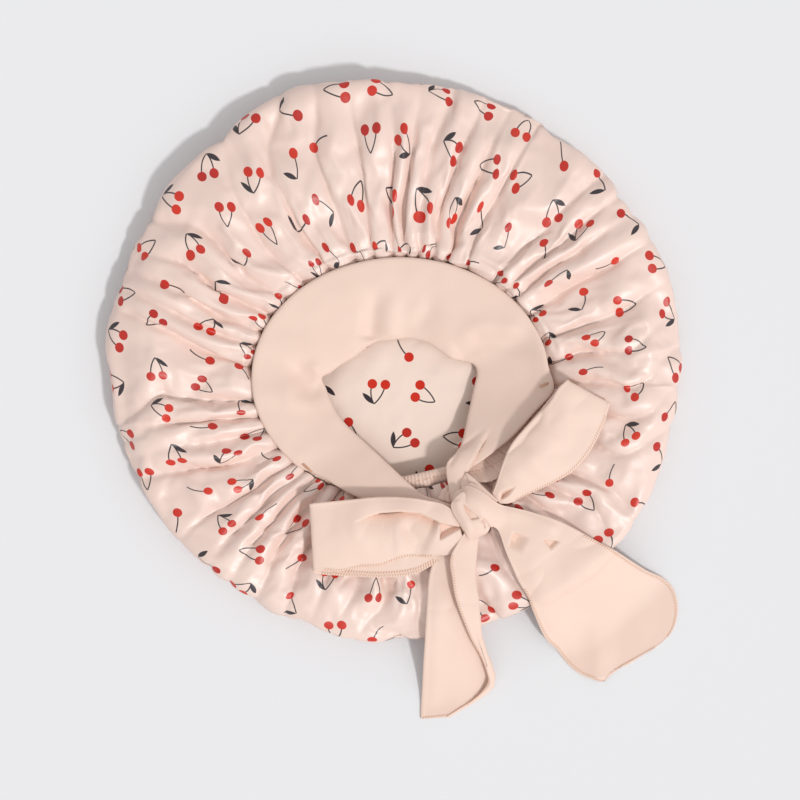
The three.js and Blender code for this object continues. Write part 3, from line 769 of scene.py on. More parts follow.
def crown_height(place):
    """Height of the crown's ridges over places in plan."""
    from_middle = place - opening_middle
    angle = np.arctan2(place[..., 1], place[..., 0])
    opening_angle = np.arctan2(from_middle[..., 1], from_middle[..., 0])
    from_rim = np.maximum(rim_radius(angle) - np.linalg.norm(place, axis=-1), 0)
    from_seam = np.maximum(np.linalg.norm(from_middle, axis=-1) - seam_radius(opening_angle), 0)
    return crown_arch(angle, from_rim / np.maximum(from_rim + from_seam, 1e-9))[..., 2]


def noise_of(turn, out, layers):
    """Noise round the crown, in layers that add up."""
    parts = [
        strength * noise(turn * around_cells, out * out_cells + start, seed, around_cells)
        for strength, around_cells, out_cells, start, seed in layers
    ]
    return sum(parts)


# Folds in a cloth


def right_of(off, ahead):
    """How far places are to the right of a line that goes ahead, from how far they are off its start."""
    return off[..., 0] * ahead[1] - off[..., 1] * ahead[0]


def line_side(place, line_px):
    """Signed distance of places to the right of a line of pixels, and the share of the line passed."""
    line = plan(*np.array(line_px, float).T)
    passed = passed_along(line)
    passed = passed / passed[-1]
    best = np.full(place.shape[:-1], np.inf)
    signed, share = np.zeros_like(best), np.zeros_like(best)
    for i, length in enumerate(np.linalg.norm(np.diff(line, axis=0), axis=-1)):
        ahead = (line[i + 1] - line[i]) / length
        off = place - line[i]
        along = np.clip(off @ ahead, 0, length)
        away = np.linalg.norm(off - along[..., None] * ahead, axis=-1)
        nearer = away < best
        best = np.where(nearer, away, best)
        signed = np.where(nearer, np.where(right_of(off, ahead) < 0, -away, away), signed)
        share = np.where(nearer, mix(passed[i], passed[i + 1], along / length), share)
    return signed, share


def faded(share, fade_shares):
    """Strength of a fold along its line: it comes up over one share of it and goes over another."""
    first, last = np.maximum(fade_shares, least_fade)
    return smooth(0, first, share) * smooth(0, last, 1 - share)


def ridge(place, line_px, height, width, fade_shares=(0.2, 0.2)):
    """A soft ridge along a line, or a groove where the height is negative."""
    away, share = line_side(place, line_px)
    return height * np.exp(-((away / width) ** 2)) * faded(share, fade_shares)


def ledge(place, line_px, drop, reach, fade_shares):
    """A fold whose right side drops away sharply and comes back up over a reach."""
    away, share = line_side(place, line_px)
    step = smooth(-ledge_width / 4, ledge_width, away) * np.exp(-np.maximum(away, 0) / reach)
    return -drop * step * faded(share, fade_shares)


def pocket(place, corners_px, depth, widths):
    """A hollow inside a convex outline, clockwise in the photograph, with a slope for each side."""
    corners = plan(*np.array(corners_px, float).T)
    hollow = np.ones(place.shape[:-1])
    for corner, after, width in zip(corners, np.roll(corners, -1, 0), widths):
        hollow = hollow * smooth(0, width, right_of(place - corner, unit(after - corner)))
    return -depth * hollow


def ripple(place, size, depth, seed):
    """Small unevenness of cloth that has been worn and laid down."""
    coarse = noise(place[..., 0] / size + 60, place[..., 1] / size + 60, seed)
    fine = noise(place[..., 0] / size * 2.3 + 90, place[..., 1] / size * 2.3 + 90, seed + 1)
    return depth * (coarse + 0.4 * fine)


def folds_of(place, folds):
    """Height of a number of folds, each given by its kind and its values."""
    return sum(kind(place, *values) for kind, *values in folds)


# Folds of each cloth: lines and corners in pixels, then heights and widths, then shares to fade over
band_folds = (
    (ridge, ((378, 284), (372, 318), (369, 342)), -0.0028, 0.006, (0.5, 0.1)),
    (ridge, ((396, 284), (392, 318), (388, 338)), 0.0014, 0.006, (0.5, 0.1)),
    (ridge, ((432, 281), (429, 311), (412, 333)), -0.0014, 0.006, (0.5, 0.3)),
    (ridge, ((296, 352), (300, 375), (312, 392), (324, 380)), -0.0026, 0.006, (0.4, 0.2)),
    (ridge, ((283, 372), (292, 400), (318, 408)), 0.0012, 0.006, (0.4, 0.3)),
    (ridge, ((310, 360), (318, 372), (325, 378)), 0.0012, 0.004, (0.4, 0.2)),
    (ridge, ((453, 358), (478, 341), (540, 348)), -0.0026, 0.007, (0.1, 0.3)),
    (ridge, ((455, 345), (478, 329), (530, 330)), 0.0012, 0.006, (0.2, 0.3)),
    (ridge, ((325, 412), (352, 430), (385, 462)), 0.0006, 0.004),
    (ledge, ((463, 478), (477, 450), (492, 424)), 0.0035, 0.009, (0.15, 0.45)),
    (ridge, ((447, 468), (458, 451), (490, 424)), -0.0012, 0.0018, (0.1, 0.5)),
    (ripple, 0.024, 0.0008, 80),
)
left_loop_crest = ((352, 521), (366, 515), (380, 510.5), (400, 509), (419, 510.5), (442, 521))
left_loop_folds = (
    (ledge, left_loop_crest, 0.0085, 0.009, (0.4, 0.1)),
    (pocket, ((439, 520), (464, 525), (438, 540)), 0.006, (0.001, 0.003, 0.001)),
    (ridge, ((400, 518), (417, 540), (432, 552)), -0.0026, 0.0055, (0.3, 0.4)),
    (ridge, ((330, 520), (350, 530), (380, 545)), 0.0008, 0.009, (0.3, 0.3)),
    (ripple, 0.02, 0.0006, 100),
)
right_loop_hollow = ((497, 490), (517, 482), (508, 495), (498, 500))
right_loop_folds = (
    (pocket, right_loop_hollow, 0.0045, (0.003, 0.003, 0.0012, 0.003)),
    (ridge, ((505, 480), (520, 468), (545, 440)), 0.0008, 0.006, (0.2, 0.4)),
    (ridge, ((590, 408), (572, 442), (555, 470)), -0.0014, 0.009, (0.3, 0.3)),
    (ripple, 0.02, 0.0006, 110),
)
left_tail_folds = (
    (ridge, ((452, 548), (455, 580), (462, 610)), -0.0008, 0.004),
    (ridge, ((438, 590), (435, 650), (434, 715)), 0.0009, 0.006),
)
right_tail_lappet = ((512, 529), (531, 534), (520, 557), (506, 546))
right_tail_folds = (
    (pocket, right_tail_lappet, 0.004, (0.003, 0.009, 0.006, 0.0006)),
    (pocket, ((539.5, 537.5), (560, 539), (548.6, 550)), 0.003, (0.0006, 0.003, 0.002)),
    (ridge, ((500, 507), (530, 517), (560, 531)), 0.0012, 0.004),
    (ridge, ((524, 548), (538, 590), (560, 640)), 0.0012, 0.007),
    (ridge, ((545, 548), (560, 590), (600, 640)), -0.0009, 0.01),
    (ridge, ((600, 683), (600, 650), (590, 610)), 0.0016, 0.008, (0.05, 0.5)),
)
# Ripples that begin beside the knot: their values, and the distances along the tail between which they do
left_tail_ripple = ((0.022, 0.0006, 120), (0, 0.03))
right_tail_ripple = ((0.024, 0.0007, 130), (0.01, 0.04))
left_flap_ripple = (0.014, 0.0004, 124)
wrap_hollow = ((461, 501), (468, 505), (475, 511), (479, 517), (470, 519), (464, 510))
wrap_folds = (
    (pocket, wrap_hollow, 0.003, (0.0008, 0.0008, 0.001, 0.002, 0.0007, 0.0007)),
    (ridge, ((455, 497), (458, 508), (464, 520), (470, 534)), 0.0011, 0.0024, (0.1, 0.2)),
    (ridge, ((479, 516), (482, 521), (483.5, 527)), -0.0013, 0.0008),
    (ridge, ((484, 514), (486.5, 519), (487, 525)), -0.0013, 0.0008),
)
bundle_folds = ((ripple, 0.006, 0.0004, 140),)
strap_tuck_folds = ((ledge, ((465, 472), (468, 479), (475, 488)), 0.0012, 0.003, (0.1, 0.3)),)
casing_tuck_folds = (
    (ridge, ((450, 487), (445.5, 493), (446, 502)), -0.0009, 0.0009, (0.1, 0.1)),
    (ridge, ((453, 489), (449.5, 495), (451, 503)), -0.0009, 0.0009, (0.1, 0.1)),
)

# Pieces of the knot: stations, grid, folds, thickness, flat size and the solid that each stands for
knot_pieces = {
    "knot_wrap_cloth": (wrap_stations, (90, 50), wrap_folds, tie_thickness, (0.018, 0.03), "knot_wrap"),
    "knot_bundle_cloth": (
        bundle_stations,
        (70, 30),
        bundle_folds,
        bundle_thickness,
        (0.0225, 0.032),
        "knot_core",
    ),
    "strap_tuck_cloth": (strap_tuck_stations, (60, 24), strap_tuck_folds, tie_thickness, (0.01, 0.024)),
    "casing_tuck_cloth": (casing_tuck_stations, (40, 30), casing_tuck_folds, tie_thickness, (0.01, 0.01)),
}

# Hems of the ties: the face that the stitches are on, and their route by row and column of the tie's grid
left_loop_hems = ((-1, ((130, 2), (215, 2))), (1, ((20, 2), (110, 2))), (1, ((24, 6), (100, 6))))
right_loop_hems = ((-1, ((130, 57), (226, 57))),)
left_tail_hems = ((1, ((26, 74), (170, 74))), (-1, ((187, 2), (187, 38))))
right_tail_hems = (
    (1, ((110, 2), (234, 2))),
    (1, ((237, 3), (237, 86))),
    (1, ((234, 87), (110, 87))),
)

# Ties: the pixels between which they bend at the knot, their flat sizes, how they are held, and their hems
ties = {
    "left_loop": ((452, 519), (438, 521), (0.043, 0.186), "folded", left_loop_hems),
    "right_loop": ((487, 499), (499, 489), (0.044, 0.134), "folded", right_loop_hems),
    "left_tail": ((471, 527), (468, 545), (0.043, 0.133), "draped", left_tail_hems),
    "right_tail": ((484, 512), (499, 520), (0.063, 0.134), "draped", right_tail_hems),
}
left_loop_grid = (240, 90)
right_loop_grid = (240, 60)
left_tail_grid = (190, 44)
left_flap_grid = (190, 26)
right_tail_grid = (240, 90)


# Crown


def settle(points, faces, pinned):
    """Lets the crown's cloth, which has some slack, find its own folds between its pinned points."""
    mesh = bpy.data.meshes.new("crown_settling")
    mesh.from_pydata(points.reshape(-1, 3).tolist(), [], faces.tolist())
    cloth = bpy.data.objects.new("crown_settling", mesh)
    bpy.context.scene.collection.objects.link(cloth)
    pin = cloth.vertex_groups.new(name="pin")
    pin.add([int(i) for i in pinned], 1.0, "REPLACE")
    cloth.modifiers.new("settle", "CLOTH")
    modifier = cloth.modifiers["settle"]
    for name, value in crown_cloth_settings.items():
        setattr(modifier.settings, name, value)
    modifier.settings.effector_weights.gravity = 0.0
    modifier.collision_settings.use_collision = False
    modifier.point_cache.frame_start = 1
    modifier.point_cache.frame_end = crown_frames
    for frame_number in range(1, crown_frames + 1):
        bpy.context.scene.frame_set(frame_number)
    shown = cloth.evaluated_get(bpy.context.evaluated_depsgraph_get()).data
    places = np.empty(len(shown.vertices) * 3)
    shown.vertices.foreach_get("co", places)
    bpy.data.objects.remove(cloth)
    bpy.context.scene.frame_set(1)
    return places.reshape(points.shape)


def crown_rows():
    """Place of each row of the gathered cloth: on the curl below 1, then on the arch to 2 at the seam."""
    curl = np.linspace(0, crown_curl_share, crown_curl_rows)
    return np.concatenate([curl, 1 + np.linspace(0, 1, crown_arch_rows)])


def crown_surface(angles, rows):
    curl = crown_curl(angles, np.clip(rows, 0, 1)[:, None] * np.ones_like(angles))
    arch = crown_arch(angles, np.clip(rows - 1, 0, 1)[:, None] * np.ones_like(angles))
    return np.where((rows < 1)[:, None, None], curl, arch)


def pleat_phase(turn, out):
    """Where a place is in the run of pleats, which have uneven widths and stray on their way out."""
    uneven = noise_of(turn, out, pleat_width_noise)
    return turn * pleat_count + uneven + noise_of(turn, out, pleat_stray_noise) * (1 - out)


def pleat_height(turn, out, rows):
    """Offset of the pleats below the crown's ridge line."""
    depth = mix(pleat_depths[0], pleat_depths[1], smooth(*pleat_deepening_shares, out))
    depth = mix(depth, pleat_depths[2], smooth(*pleat_end_shares, out))
    depth = depth * smooth(*pleat_start_shares, rows)[:, None]
    depth = depth * (1 + noise_of(turn, out, pleat_depth_noise))
    return -depth * (1 - np.abs(np.sin(np.pi * pleat_phase(turn, out))) ** pleat_sharpness)


def ditch_height(turn, out):
    """Offset of the groove along the sewn part of the seam."""
    sewn = smooth(sewn_degs[0] - sewn_fade_deg, sewn_degs[0], (turn * 360 + 180) % 360 - 180)
    sewn = sewn * smooth(sewn_degs[1] + sewn_fade_deg, sewn_degs[1], (turn * 360 + 90) % 360 - 90)
    return -seam_ditch * smooth(*ditch_shares, out) * sewn


def dent_height(turn, out, rows):
    """Offset of the broad dents outside the pleats."""
    height = dent_depth * (noise_of(turn, out, dent_noise) - 1)
    return height * smooth(*dent_start_shares, rows)[:, None] * smooth(*dent_end_shares, out)


def fold_height(turn, out):
    """Offset of the sharp folds: steps out from the seam along the pleats, and creases between."""
    phase = pleat_phase(turn, out)
    pleat = np.round(phase)

    def drawn(cells, start, seed):
        return noise(pleat * cells + start, out * 0, seed)

    past = (phase - pleat) * np.where(drawn(*fold_side_noise) > 0, 1, -1)
    length = out + fold_length_share * drawn(*fold_length_noise)
    step = smooth(-fold_widths[0], fold_widths[0], past) * np.exp(-np.maximum(past, 0) / fold_widths[1])
    reach = smooth(*fold_lengths, length) * smooth(*fold_start_shares, out)
    line = np.clip(1 - np.abs(noise_of(turn, out, crease_noise)) / crease_width, 0, 1)
    shown = smooth(*crease_shown_values, noise_of(turn, out, crease_shown_noise))
    shown = shown * smooth(*crease_start_shares, out) * smooth(*crease_end_shares, out)
    return crease_height * line * shown - fold_drop * step * reach


def crown_lying_face(edge):
    """The crown's face on the surface, in from its edge, with half as many points in each ring."""
    angle = np.arctan2(edge[:, 1], edge[:, 0])
    radius = np.linalg.norm(edge[:, :2], axis=-1)
    points, faces = [], []
    ring = np.arange(len(edge))
    count = len(edge)
    for k in range(1, crown_base_rings + 1):
        kept = slice(None, None, 2**k)
        place = around(angle[kept], radius[kept] * (1 - k / (crown_base_rings + 1)))
        height = base_height + base_lift + ripple(place, *base_ripple)
        points.append(raised(place, np.maximum(height, base_height)))
        inner = count + np.arange(len(place))
        count += len(place)
        for i in range(len(inner)):
            after = (i + 1) % len(inner)
            a, b, c = ring[2 * i], ring[2 * i + 1], ring[(2 * i + 2) % len(ring)]
            faces += [[inner[i], b, a], [inner[i], inner[after], b], [inner[after], c, b]]
        ring = inner
    points.append(np.array([[0, 0, base_height + base_lift]]))
    faces += [[ring[i], count, ring[(i + 1) % len(ring)]] for i in range(len(ring))]
    return np.concatenate(points), [[int(i) for i in face] for face in faces]


def soften(grid, times):
    """Evens out a closed run of rows, but for its first and last."""
    for _ in range(times):
        beside = np.roll(grid, 1, 1) + np.roll(grid, -1, 1)
        inner = grid[1:-1] / 3 + (beside[1:-1] + grid[:-2] + grid[2:]) / 6
        grid = np.concatenate([grid[:1], inner, grid[-1:]])
    return grid


def fit_outline(points, out):
    """Draws the settled cloth out or in, but for its seam, to its outline in the photograph."""
    turn = np.arctan2(points[..., 1], points[..., 0]) / full_turn % 1
    sector = (turn * outline_sectors).astype(int) % outline_sectors
    reach = np.zeros(outline_sectors)
    np.maximum.at(reach, sector, np.linalg.norm(points[..., :2], axis=-1))
    reach = (np.roll(reach, 1) + 2 * reach + np.roll(reach, -1)) / 4
    middles = (np.arange(outline_sectors) + 0.5) / outline_sectors
    at = np.arange(len(crown_outline_px)) / len(crown_outline_px)
    wanted = np.interp(middles, at, np.array(crown_outline_px) * metres_per_px, period=1)
    grown = np.interp(turn, middles, wanted / reach, period=1)
    points[..., :2] *= (1 + (grown - 1) * smooth(*outline_hold_shares, out))[..., None]
    return points


def raise_ridges(points, out):
    """Lifts the settled cloth between rim and seam, until its folds' tops reach the ridge line."""
    under = crown_height(points[..., :2]) - points[..., 2]
    for _ in range(ridge_reach):
        under = np.minimum.reduce([np.roll(under, -1, 1), under, np.roll(under, 1, 1)])
    for _ in range(ridge_smoothing):
        under = (np.roll(under, -1, 1) + np.roll(under, 1, 1) + 2 * under) / 4
        under[1:-1] = (under[:-2] + under[2:] + 2 * under[1:-1]) / 4
    shown = smooth(*ridge_start_shares, out)
    points[..., 2] += under * shown * smooth(*ridge_end_shares, out)
    return points


def lie_of(cloth):
    """Heights over the plan, in cells, at which another cloth can lie on this one."""
    side = round(2 * lie_half / lie_cell)
    cells = np.clip(((cloth[..., :2].reshape(-1, 2) + lie_half) / lie_cell).astype(int), 0, side - 1)
    heights = np.zeros((side, side))
    np.maximum.at(heights, (cells[:, 0], cells[:, 1]), cloth[..., 2].ravel())
    for _ in range(lie_spread):
        for axis in (0, 1):
            heights = np.maximum.reduce([np.roll(heights, shift, axis) for shift in (-1, 0, 1)])
    for _ in range(lie_smoothing):
        for axis in (0, 1):
            heights = (np.roll(heights, 1, axis) + np.roll(heights, -1, axis) + 2 * heights) / 4
    return heights


def lie_height(place):
    at = (place + lie_half) / lie_cell - 0.5
    return on_grid(crown_lie[..., None], at[..., 0], at[..., 1])[..., 0]


def crown_map(base, turn):
    """The fabric map of the gathered part: round it, and along its cloth from its edge to the seam."""
    flat_line = np.concatenate([[0], np.cumsum(np.linalg.norm(np.diff(base, axis=0), axis=-1).mean(1))])
    columns = np.concatenate([turn, np.ones((len(base), 1))], 1) * print_columns * print_cell[0]
    flat = np.stack([columns, np.broadcast_to(flat_line[:, None], columns.shape)], -1)
    corners = [flat[:-1, :-1], flat[:-1, 1:], flat[1:, 1:], flat[1:, :-1]]
    return np.stack(corners, 2).reshape(-1, 2)


def crown_gathers():
    """Points, faces and fabric map of the crown's gathered part, from the surface round to the seam."""
    rows = crown_rows()
    turn = np.broadcast_to(np.arange(crown_columns) / crown_columns, (len(rows), crown_columns))
    base = crown_surface(turn * full_turn, rows)
    out = np.clip(rows - 1, 0, 1)[:, None]
    height = pleat_height(turn, out, rows)
    height += ditch_height(turn, out)
    height += dent_height(turn, out, rows)
    points = base + normals_of(base, ring=True) * height[..., None]
    faces = grid_faces(len(rows), crown_columns, ring=True)
    edge = np.arange(crown_columns)
    points = settle(points, faces, np.concatenate([edge, edge + (len(rows) - 1) * crown_columns]))
    points = raise_ridges(fit_outline(soften(points, 1), out), out)
    points[..., 2] += fold_height(turn, out)
    points[..., 2] = np.maximum(points[..., 2], base_height)
    return points, faces, crown_map(base, turn)


def make_crown():
    """Makes the crown's cloth, and gives the points of its gathered part."""
    points, faces, gathers_map = crown_gathers()
    base_points, base_faces = crown_lying_face(points[0])
    shift = points.shape[0] * points.shape[1] - crown_columns
    base_faces = [[i if i < crown_columns else i + shift for i in face] for face in base_faces]
    all_points = np.concatenate([points.reshape(-1, 3), base_points])
    base_map = np.concatenate([all_points[face][:, :2] for face in base_faces])
    both_maps = np.concatenate([gathers_map, base_map])
    crown = mesh_object("crown_cloth", all_points, faces.tolist() + base_faces, satin, both_maps)
    dress(crown, "bonnet", ("crown_base", "crown_rim", "crown_arch", "crown_gathers"))
    return points


# Cloth pieces in general


def stations_grid(stations, rows, columns):
    """A ribbon's places and lifts, and its grid's distances along and shares across. A station is its left
    and right edge in pixels, their lifts and a dome."""
    table = np.array([[*left, *right, *rest] for left, right, *rest in stations], float)
    middles = plan((table[:, 0] + table[:, 2]) / 2, (table[:, 1] + table[:, 3]) / 2)
    steps = np.hypot(np.linalg.norm(np.diff(middles, axis=0), axis=-1), station_least_step)
    passed = np.concatenate([[0], np.cumsum(steps)])
    along = np.linspace(0, passed[-1], rows)
    at = curve_at(np.arange(len(table)), table, np.interp(along, passed, np.arange(len(table))))
    left_x, left_y, right_x, right_y, left_lift, right_lift, dome = at.T[..., None]
    across = np.linspace(0, 1, columns)
    place = plan(mix(left_x, right_x, across), mix(left_y, right_y, across))
    lift = mix(left_lift, right_lift, across) + dome * 4 * across * (1 - across)
    return place, lift * mm, along[:, None] + 0 * across, across + 0 * along[:, None]


def shell(middle, thickness):
    """Points and faces of a cloth of a thickness, round at its edges."""
    rows, columns = middle.shape[:2]
    profile = np.ones((rows, columns))
    for inset, share in edge_rounding:
        border = [inset, -1 - inset]
        profile[border, :] = share
        profile[:, border] = share
    half = normals_of(middle) * (profile * np.asarray(thickness) / 2)[..., None]
    points = np.concatenate([(middle + half).reshape(-1, 3), (middle - half).reshape(-1, 3)])
    count = rows * columns
    top = grid_faces(rows, columns)
    index = np.arange(count).reshape(rows, columns)
    rim = np.concatenate([index[0], index[1:, -1], index[-1, -2::-1], index[-2::-1, 0]])
    sides = np.stack([rim[1:], rim[:-1], rim[:-1] + count, rim[1:] + count], -1)
    return points, np.concatenate([top, top[:, ::-1] + count, sides])


def cloth_piece(name, middle, thickness, material):
    return mesh_object(name, *shell(middle, thickness), material)


def on_grid(grid, row, column):
    """Point of a grid at a place between its rows and columns."""
    row, column = (np.clip(at, 0, size - grid_margin) for at, size in zip((row, column), grid.shape))
    i, j = np.floor(row).astype(int), np.floor(column).astype(int)
    down, across = (row - i)[..., None], (column - j)[..., None]
    upper = mix(grid[i, j], grid[i, j + 1], across)
    return mix(upper, mix(grid[i + 1, j], grid[i + 1, j + 1], across), down)


def stitch_row(line, outs, pitch, length, turn_deg):
    """Points and faces of a row of stitches along a line of points, each a short arch of thread."""
    passed = passed_along(line)
    places = np.arange(pitch / 2, passed[-1], pitch)

    def along_line(values, at):
        return np.stack([np.interp(at, passed, values[:, axis]) for axis in range(3)], -1)

    centres = along_line(line, places)
    ups = unit(along_line(outs, places))
    aheads = along_line(line, places + pitch / 4) - centres
    aheads = unit(aheads - ups * (aheads * ups).sum(-1, keepdims=True))
    turn = math.radians(turn_deg)
    along = aheads * math.cos(turn) + np.cross(ups, aheads) * math.sin(turn)
    across = np.cross(ups, along)
    reach = np.linspace(-0.5, 0.5, stitch_rings) * length
    arch = np.sin(np.linspace(0, math.pi, stitch_rings))
    rise = (arch - stitch_sink_share) * thread_width * stitch_rise_share
    turns = np.linspace(0, full_turn, stitch_sides, endpoint=False)
    radius = thread_width / 2 * mix(stitch_end_share, 1, arch)[:, None]
    spine = centres[:, None] + along[:, None] * reach[:, None] + ups[:, None] * rise[:, None]
    rings = (
        spine[:, :, None]
        + across[:, None, None] * (np.cos(turns) * radius)[..., None]
        + ups[:, None, None] * (np.sin(turns) * radius)[..., None]
    )
    tube = tube_faces(stitch_rings, stitch_sides)
    each = stitch_rings * stitch_sides
    faces = [[i + k * each for i in face] for k in range(len(places)) for face in tube]
    return rings.reshape(-1, 3), faces


def stitching(name, rows, body, node):
    """One piece of the stitch rows, each given by its line, the ways out of the cloth and its stitches."""
    points, faces = [], []
    for line, outs, stitch in rows:
        row_points, row_faces = stitch_row(line, outs, *stitch)
        base = sum(len(p) for p in points)
        points.append(row_points)
        faces += [[i + base for i in face] for face in row_faces]
    piece = mesh_object(name, np.concatenate(points), faces, thread)
    dress(piece, body, (node,))


def upward(line):
    return np.broadcast_to(np.array((0, 0, 1.0)), line.shape)


# Lining


def lining_floor(turn):
    """The lining on the crown's base inside."""
    radii = np.linspace(lining_first_share, 1, lining_floor_rows)[:, None]
    place = around(turn, rim_radius(turn) * radii * lining_reach)
    height = lining_height + sum(ripple(place, *values) for values in lining_ripples)
    height += lining_puff * smooth(*lining_puff_reach, np.linalg.norm(place - opening_middle, axis=-1))
    return raised(place, np.maximum(height, lining_height - lining_dip))


def lining_arch(turn):
    """The lining from the rim back under the crown's arch to the seam."""
    turns = np.broadcast_to(turn, (lining_arch_rows, lining_columns))
    back = np.linspace(*lining_back_shares, lining_arch_rows)[:, None]
    arch = crown_arch(turns, back + 0 * turn)
    sink = mix(*lining_sinks, smooth(*lining_sink_shares, back))
    folds = noise_of(turns / full_turn, back, lining_fold_noise)
    arch = arch + normals_of(arch, ring=True) * (folds - sink)[..., None]
    arch[..., 2] = np.clip(arch[..., 2], lining_height + lining_curl_rise, lining_top)
    return arch


def make_lining():
    """The lining lies on the crown's base inside, curls up in the rim and comes back to the seam."""
    turn = np.arange(lining_columns) / lining_columns * full_turn
    points = np.concatenate([lining_floor(turn), lining_arch(turn)])
    middle = len(points) * lining_columns
    faces = grid_faces(len(points), lining_columns, ring=True).tolist()
    faces += [[middle, (i + 1) % lining_columns, i] for i in range(lining_columns)]
    all_points = np.concatenate([points.reshape(-1, 3), [[0, 0, lining_height + lining_puff]]])
    fabric_map = np.concatenate([all_points[face][:, :2] for face in faces])
    piece = mesh_object("lining_cloth", all_points, faces, lining_satin, fabric_map)
    dress(piece, "bonnet", ("crown_lining",))


# Band


def make_band():
    """Makes the band, and gives the middle of its two plies."""
    place, lift, _, _ = stations_grid(band_stations, *band_grid)
    middle = raised(place, lift - band_thickness / 2 + folds_of(place, band_folds))
    piece = cloth_piece("band_cloth", middle, band_thickness, tie_cloth)
    dress(piece, "bonnet", ("band_outer_ply", "band_inner_ply"))
    return middle


def make_allowance():
    """The overlocked edges of crown and band, standing down under the band along the seam."""
    columns, rows = allowance_grid
    angle = np.radians(np.linspace(*sewn_degs, columns))[:, None]
    wave = allowance_wave * np.sin(np.linspace(0, allowance_wave_turn, columns))[:, None]
    radius = seam_radius(angle) - allowance_inset - wave * np.linspace(0, 1, rows)
    up = np.linspace(allowance_top, allowance_top - allowance_width, rows)
    middle = raised(around(angle, radius) + opening_middle, up)
    piece = cloth_piece("seam_allowance_cloth", middle, allowance_thickness, thread)
    dress(piece, "bonnet", ("seam_allowance",))


def make_tacks(band):
    """Bar tacks: a few close stitches across the ends of the sewn part."""
    flat = band.reshape(-1, 3)
    for name, ends in tack_places.items():
        place = plan(*np.linspace(*np.array(ends, float), tack_points).T)
        heights = [flat[np.argmin(np.linalg.norm(flat[:, :2] - p, axis=-1)), 2] for p in place]
        line = raised(place, max(heights) + band_thickness / 2 + tack_lift)
        stitching(name + "_thread", [(line, upward(line), tack_stitch)], "bonnet", name)


# Casing


def casing_depth(share, spread, turn):
    """Depth of the casing's gathers: ribs on the elastic, and long gathers where the cloth spreads out."""
    stray, cells, seed = casing_rib_stray
    phase = share * casing_ribs + stray * noise(share * cells, share * 0, seed)
    rib = np.abs(np.sin(math.pi * phase)) ** casing_rib_sharpness
    along, across, start, seed = casing_dent_cells
    dent = noise(share * along, np.sin(turn) * across + start, seed)
    depth = casing_rib_depth * (1 - rib) * (1 - casing_dent_share * (1 - dent)) + casing_dent_depth * dent
    gather = 1 - np.abs(np.sin(math.pi * phase / casing_gather_every)) ** casing_gather_sharpness
    return mix(depth, depth * casing_gather_rib_share + casing_gather_depth * gather, spread)


def make_casing():
    """The casing on its elastic, spread out over the crown's edge beside the right strap."""
    count, sides = casing_grid
    degs = np.linspace(*casing_shown_degs, count)[:, None]
    angle = np.radians(degs)
    turn = np.linspace(0, full_turn, sides, endpoint=False)
    spread = smooth(*casing_spread_degs[0], degs) * smooth(*casing_spread_degs[1], degs)
    depth = casing_depth(np.linspace(0, 1, count)[:, None], spread, turn)
    inner = seam_radius(angle) - casing_width
    outer = seam_radius(angle) + casing_spread * spread
    half_width = (outer - inner) / 2 - depth * casing_rib_plan_share
    place = around(angle, (inner + outer) / 2 + np.sin(turn) * half_width) + opening_middle
    over_crown = smooth(*casing_over_values, np.sin(turn)) * spread
    level = mix(casing_top - casing_height / 2, lie_height(place) + casing_clearance, over_crown)
    half_height = casing_height / 2 * (1 - casing_thinning_share * over_crown) - depth
    points = raised(place, level + np.cos(turn) * half_height)
    piece = mesh_object("casing_cloth", points, tube_faces(count, sides), tie_cloth)
    dress(piece, "bonnet", ("elastic_casing",))
    line = points[:, 0]
    stitching("casing_topstitch_thread", [(line, upward(line), top_stitch)], "bonnet", "casing_topstitch")


def make_elastic():
    """The elastic stays as modelled, inside its casing."""
    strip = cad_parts["elastic_strip"]
    strip.data.materials.clear()
    strip.data.materials.append(knit)


# Bow


def tie_floor(place):
    """Height of what a tie lies on: the crown inside its rim, the surface well outside."""
    angle = np.arctan2(place[..., 1], place[..., 0])
    radius = np.linalg.norm(place, axis=-1)
    inside = rim_radius(angle) - radius
    at = np.minimum(radius, rim_radius(angle) - tail_leave)
    leaving = crown_height(around(angle, at))
    fallen = np.clip((tail_leave - inside) / (tail_leave + tail_fall), 0, 1)
    falling = leaving * (1 + np.cos(np.pi * fallen)) / 2
    return np.maximum(np.where(inside > tail_leave, leaving, falling), lie_height(place))


def tie_middle(stations, grid):
    """A tie's middle surface, with lifts from what it lies on or, near the knot, from the knot's height."""
    place, lift, along, across = stations_grid(stations, *grid)
    near_knot = smooth(*knot_settle, np.linalg.norm(place - plan(*knot_px), axis=-1))
    floor = tie_floor(place) + tie_thickness / 2 + lie_gap
    return raised(place, mix(floor, knot_height - knot_sink, near_knot) + lift), along, across


def hem_thickness(shape, end_hemmed):
    """A tie's thickness over its grid: nearly double where it is hemmed."""
    rows, columns = shape
    row, column = np.arange(rows)[:, None], np.arange(columns)[None]
    from_edge = np.minimum(column, columns - 1 - column) + 0 * row
    if end_hemmed:
        from_edge = np.minimum(from_edge, rows - 1 - row)
    return tie_thickness * (1 + hem_growth_share * smooth(hem_cells + 0.5, hem_cells - 0.5, from_edge))


def grid_line(grid, side, route):
    """A line for stitches on one face of a tie, along a route by row and column, and the ways out of it."""
    route = np.array(route, float)
    at = np.linspace(0, len(route) - 1, hem_points)
    row, column = (np.interp(at, np.arange(len(route)), route[:, axis]) for axis in (0, 1))
    out = on_grid(normals_of(grid), row, column) * side
    return on_grid(grid, row, column) + out * tie_thickness * hem_lift_share, out


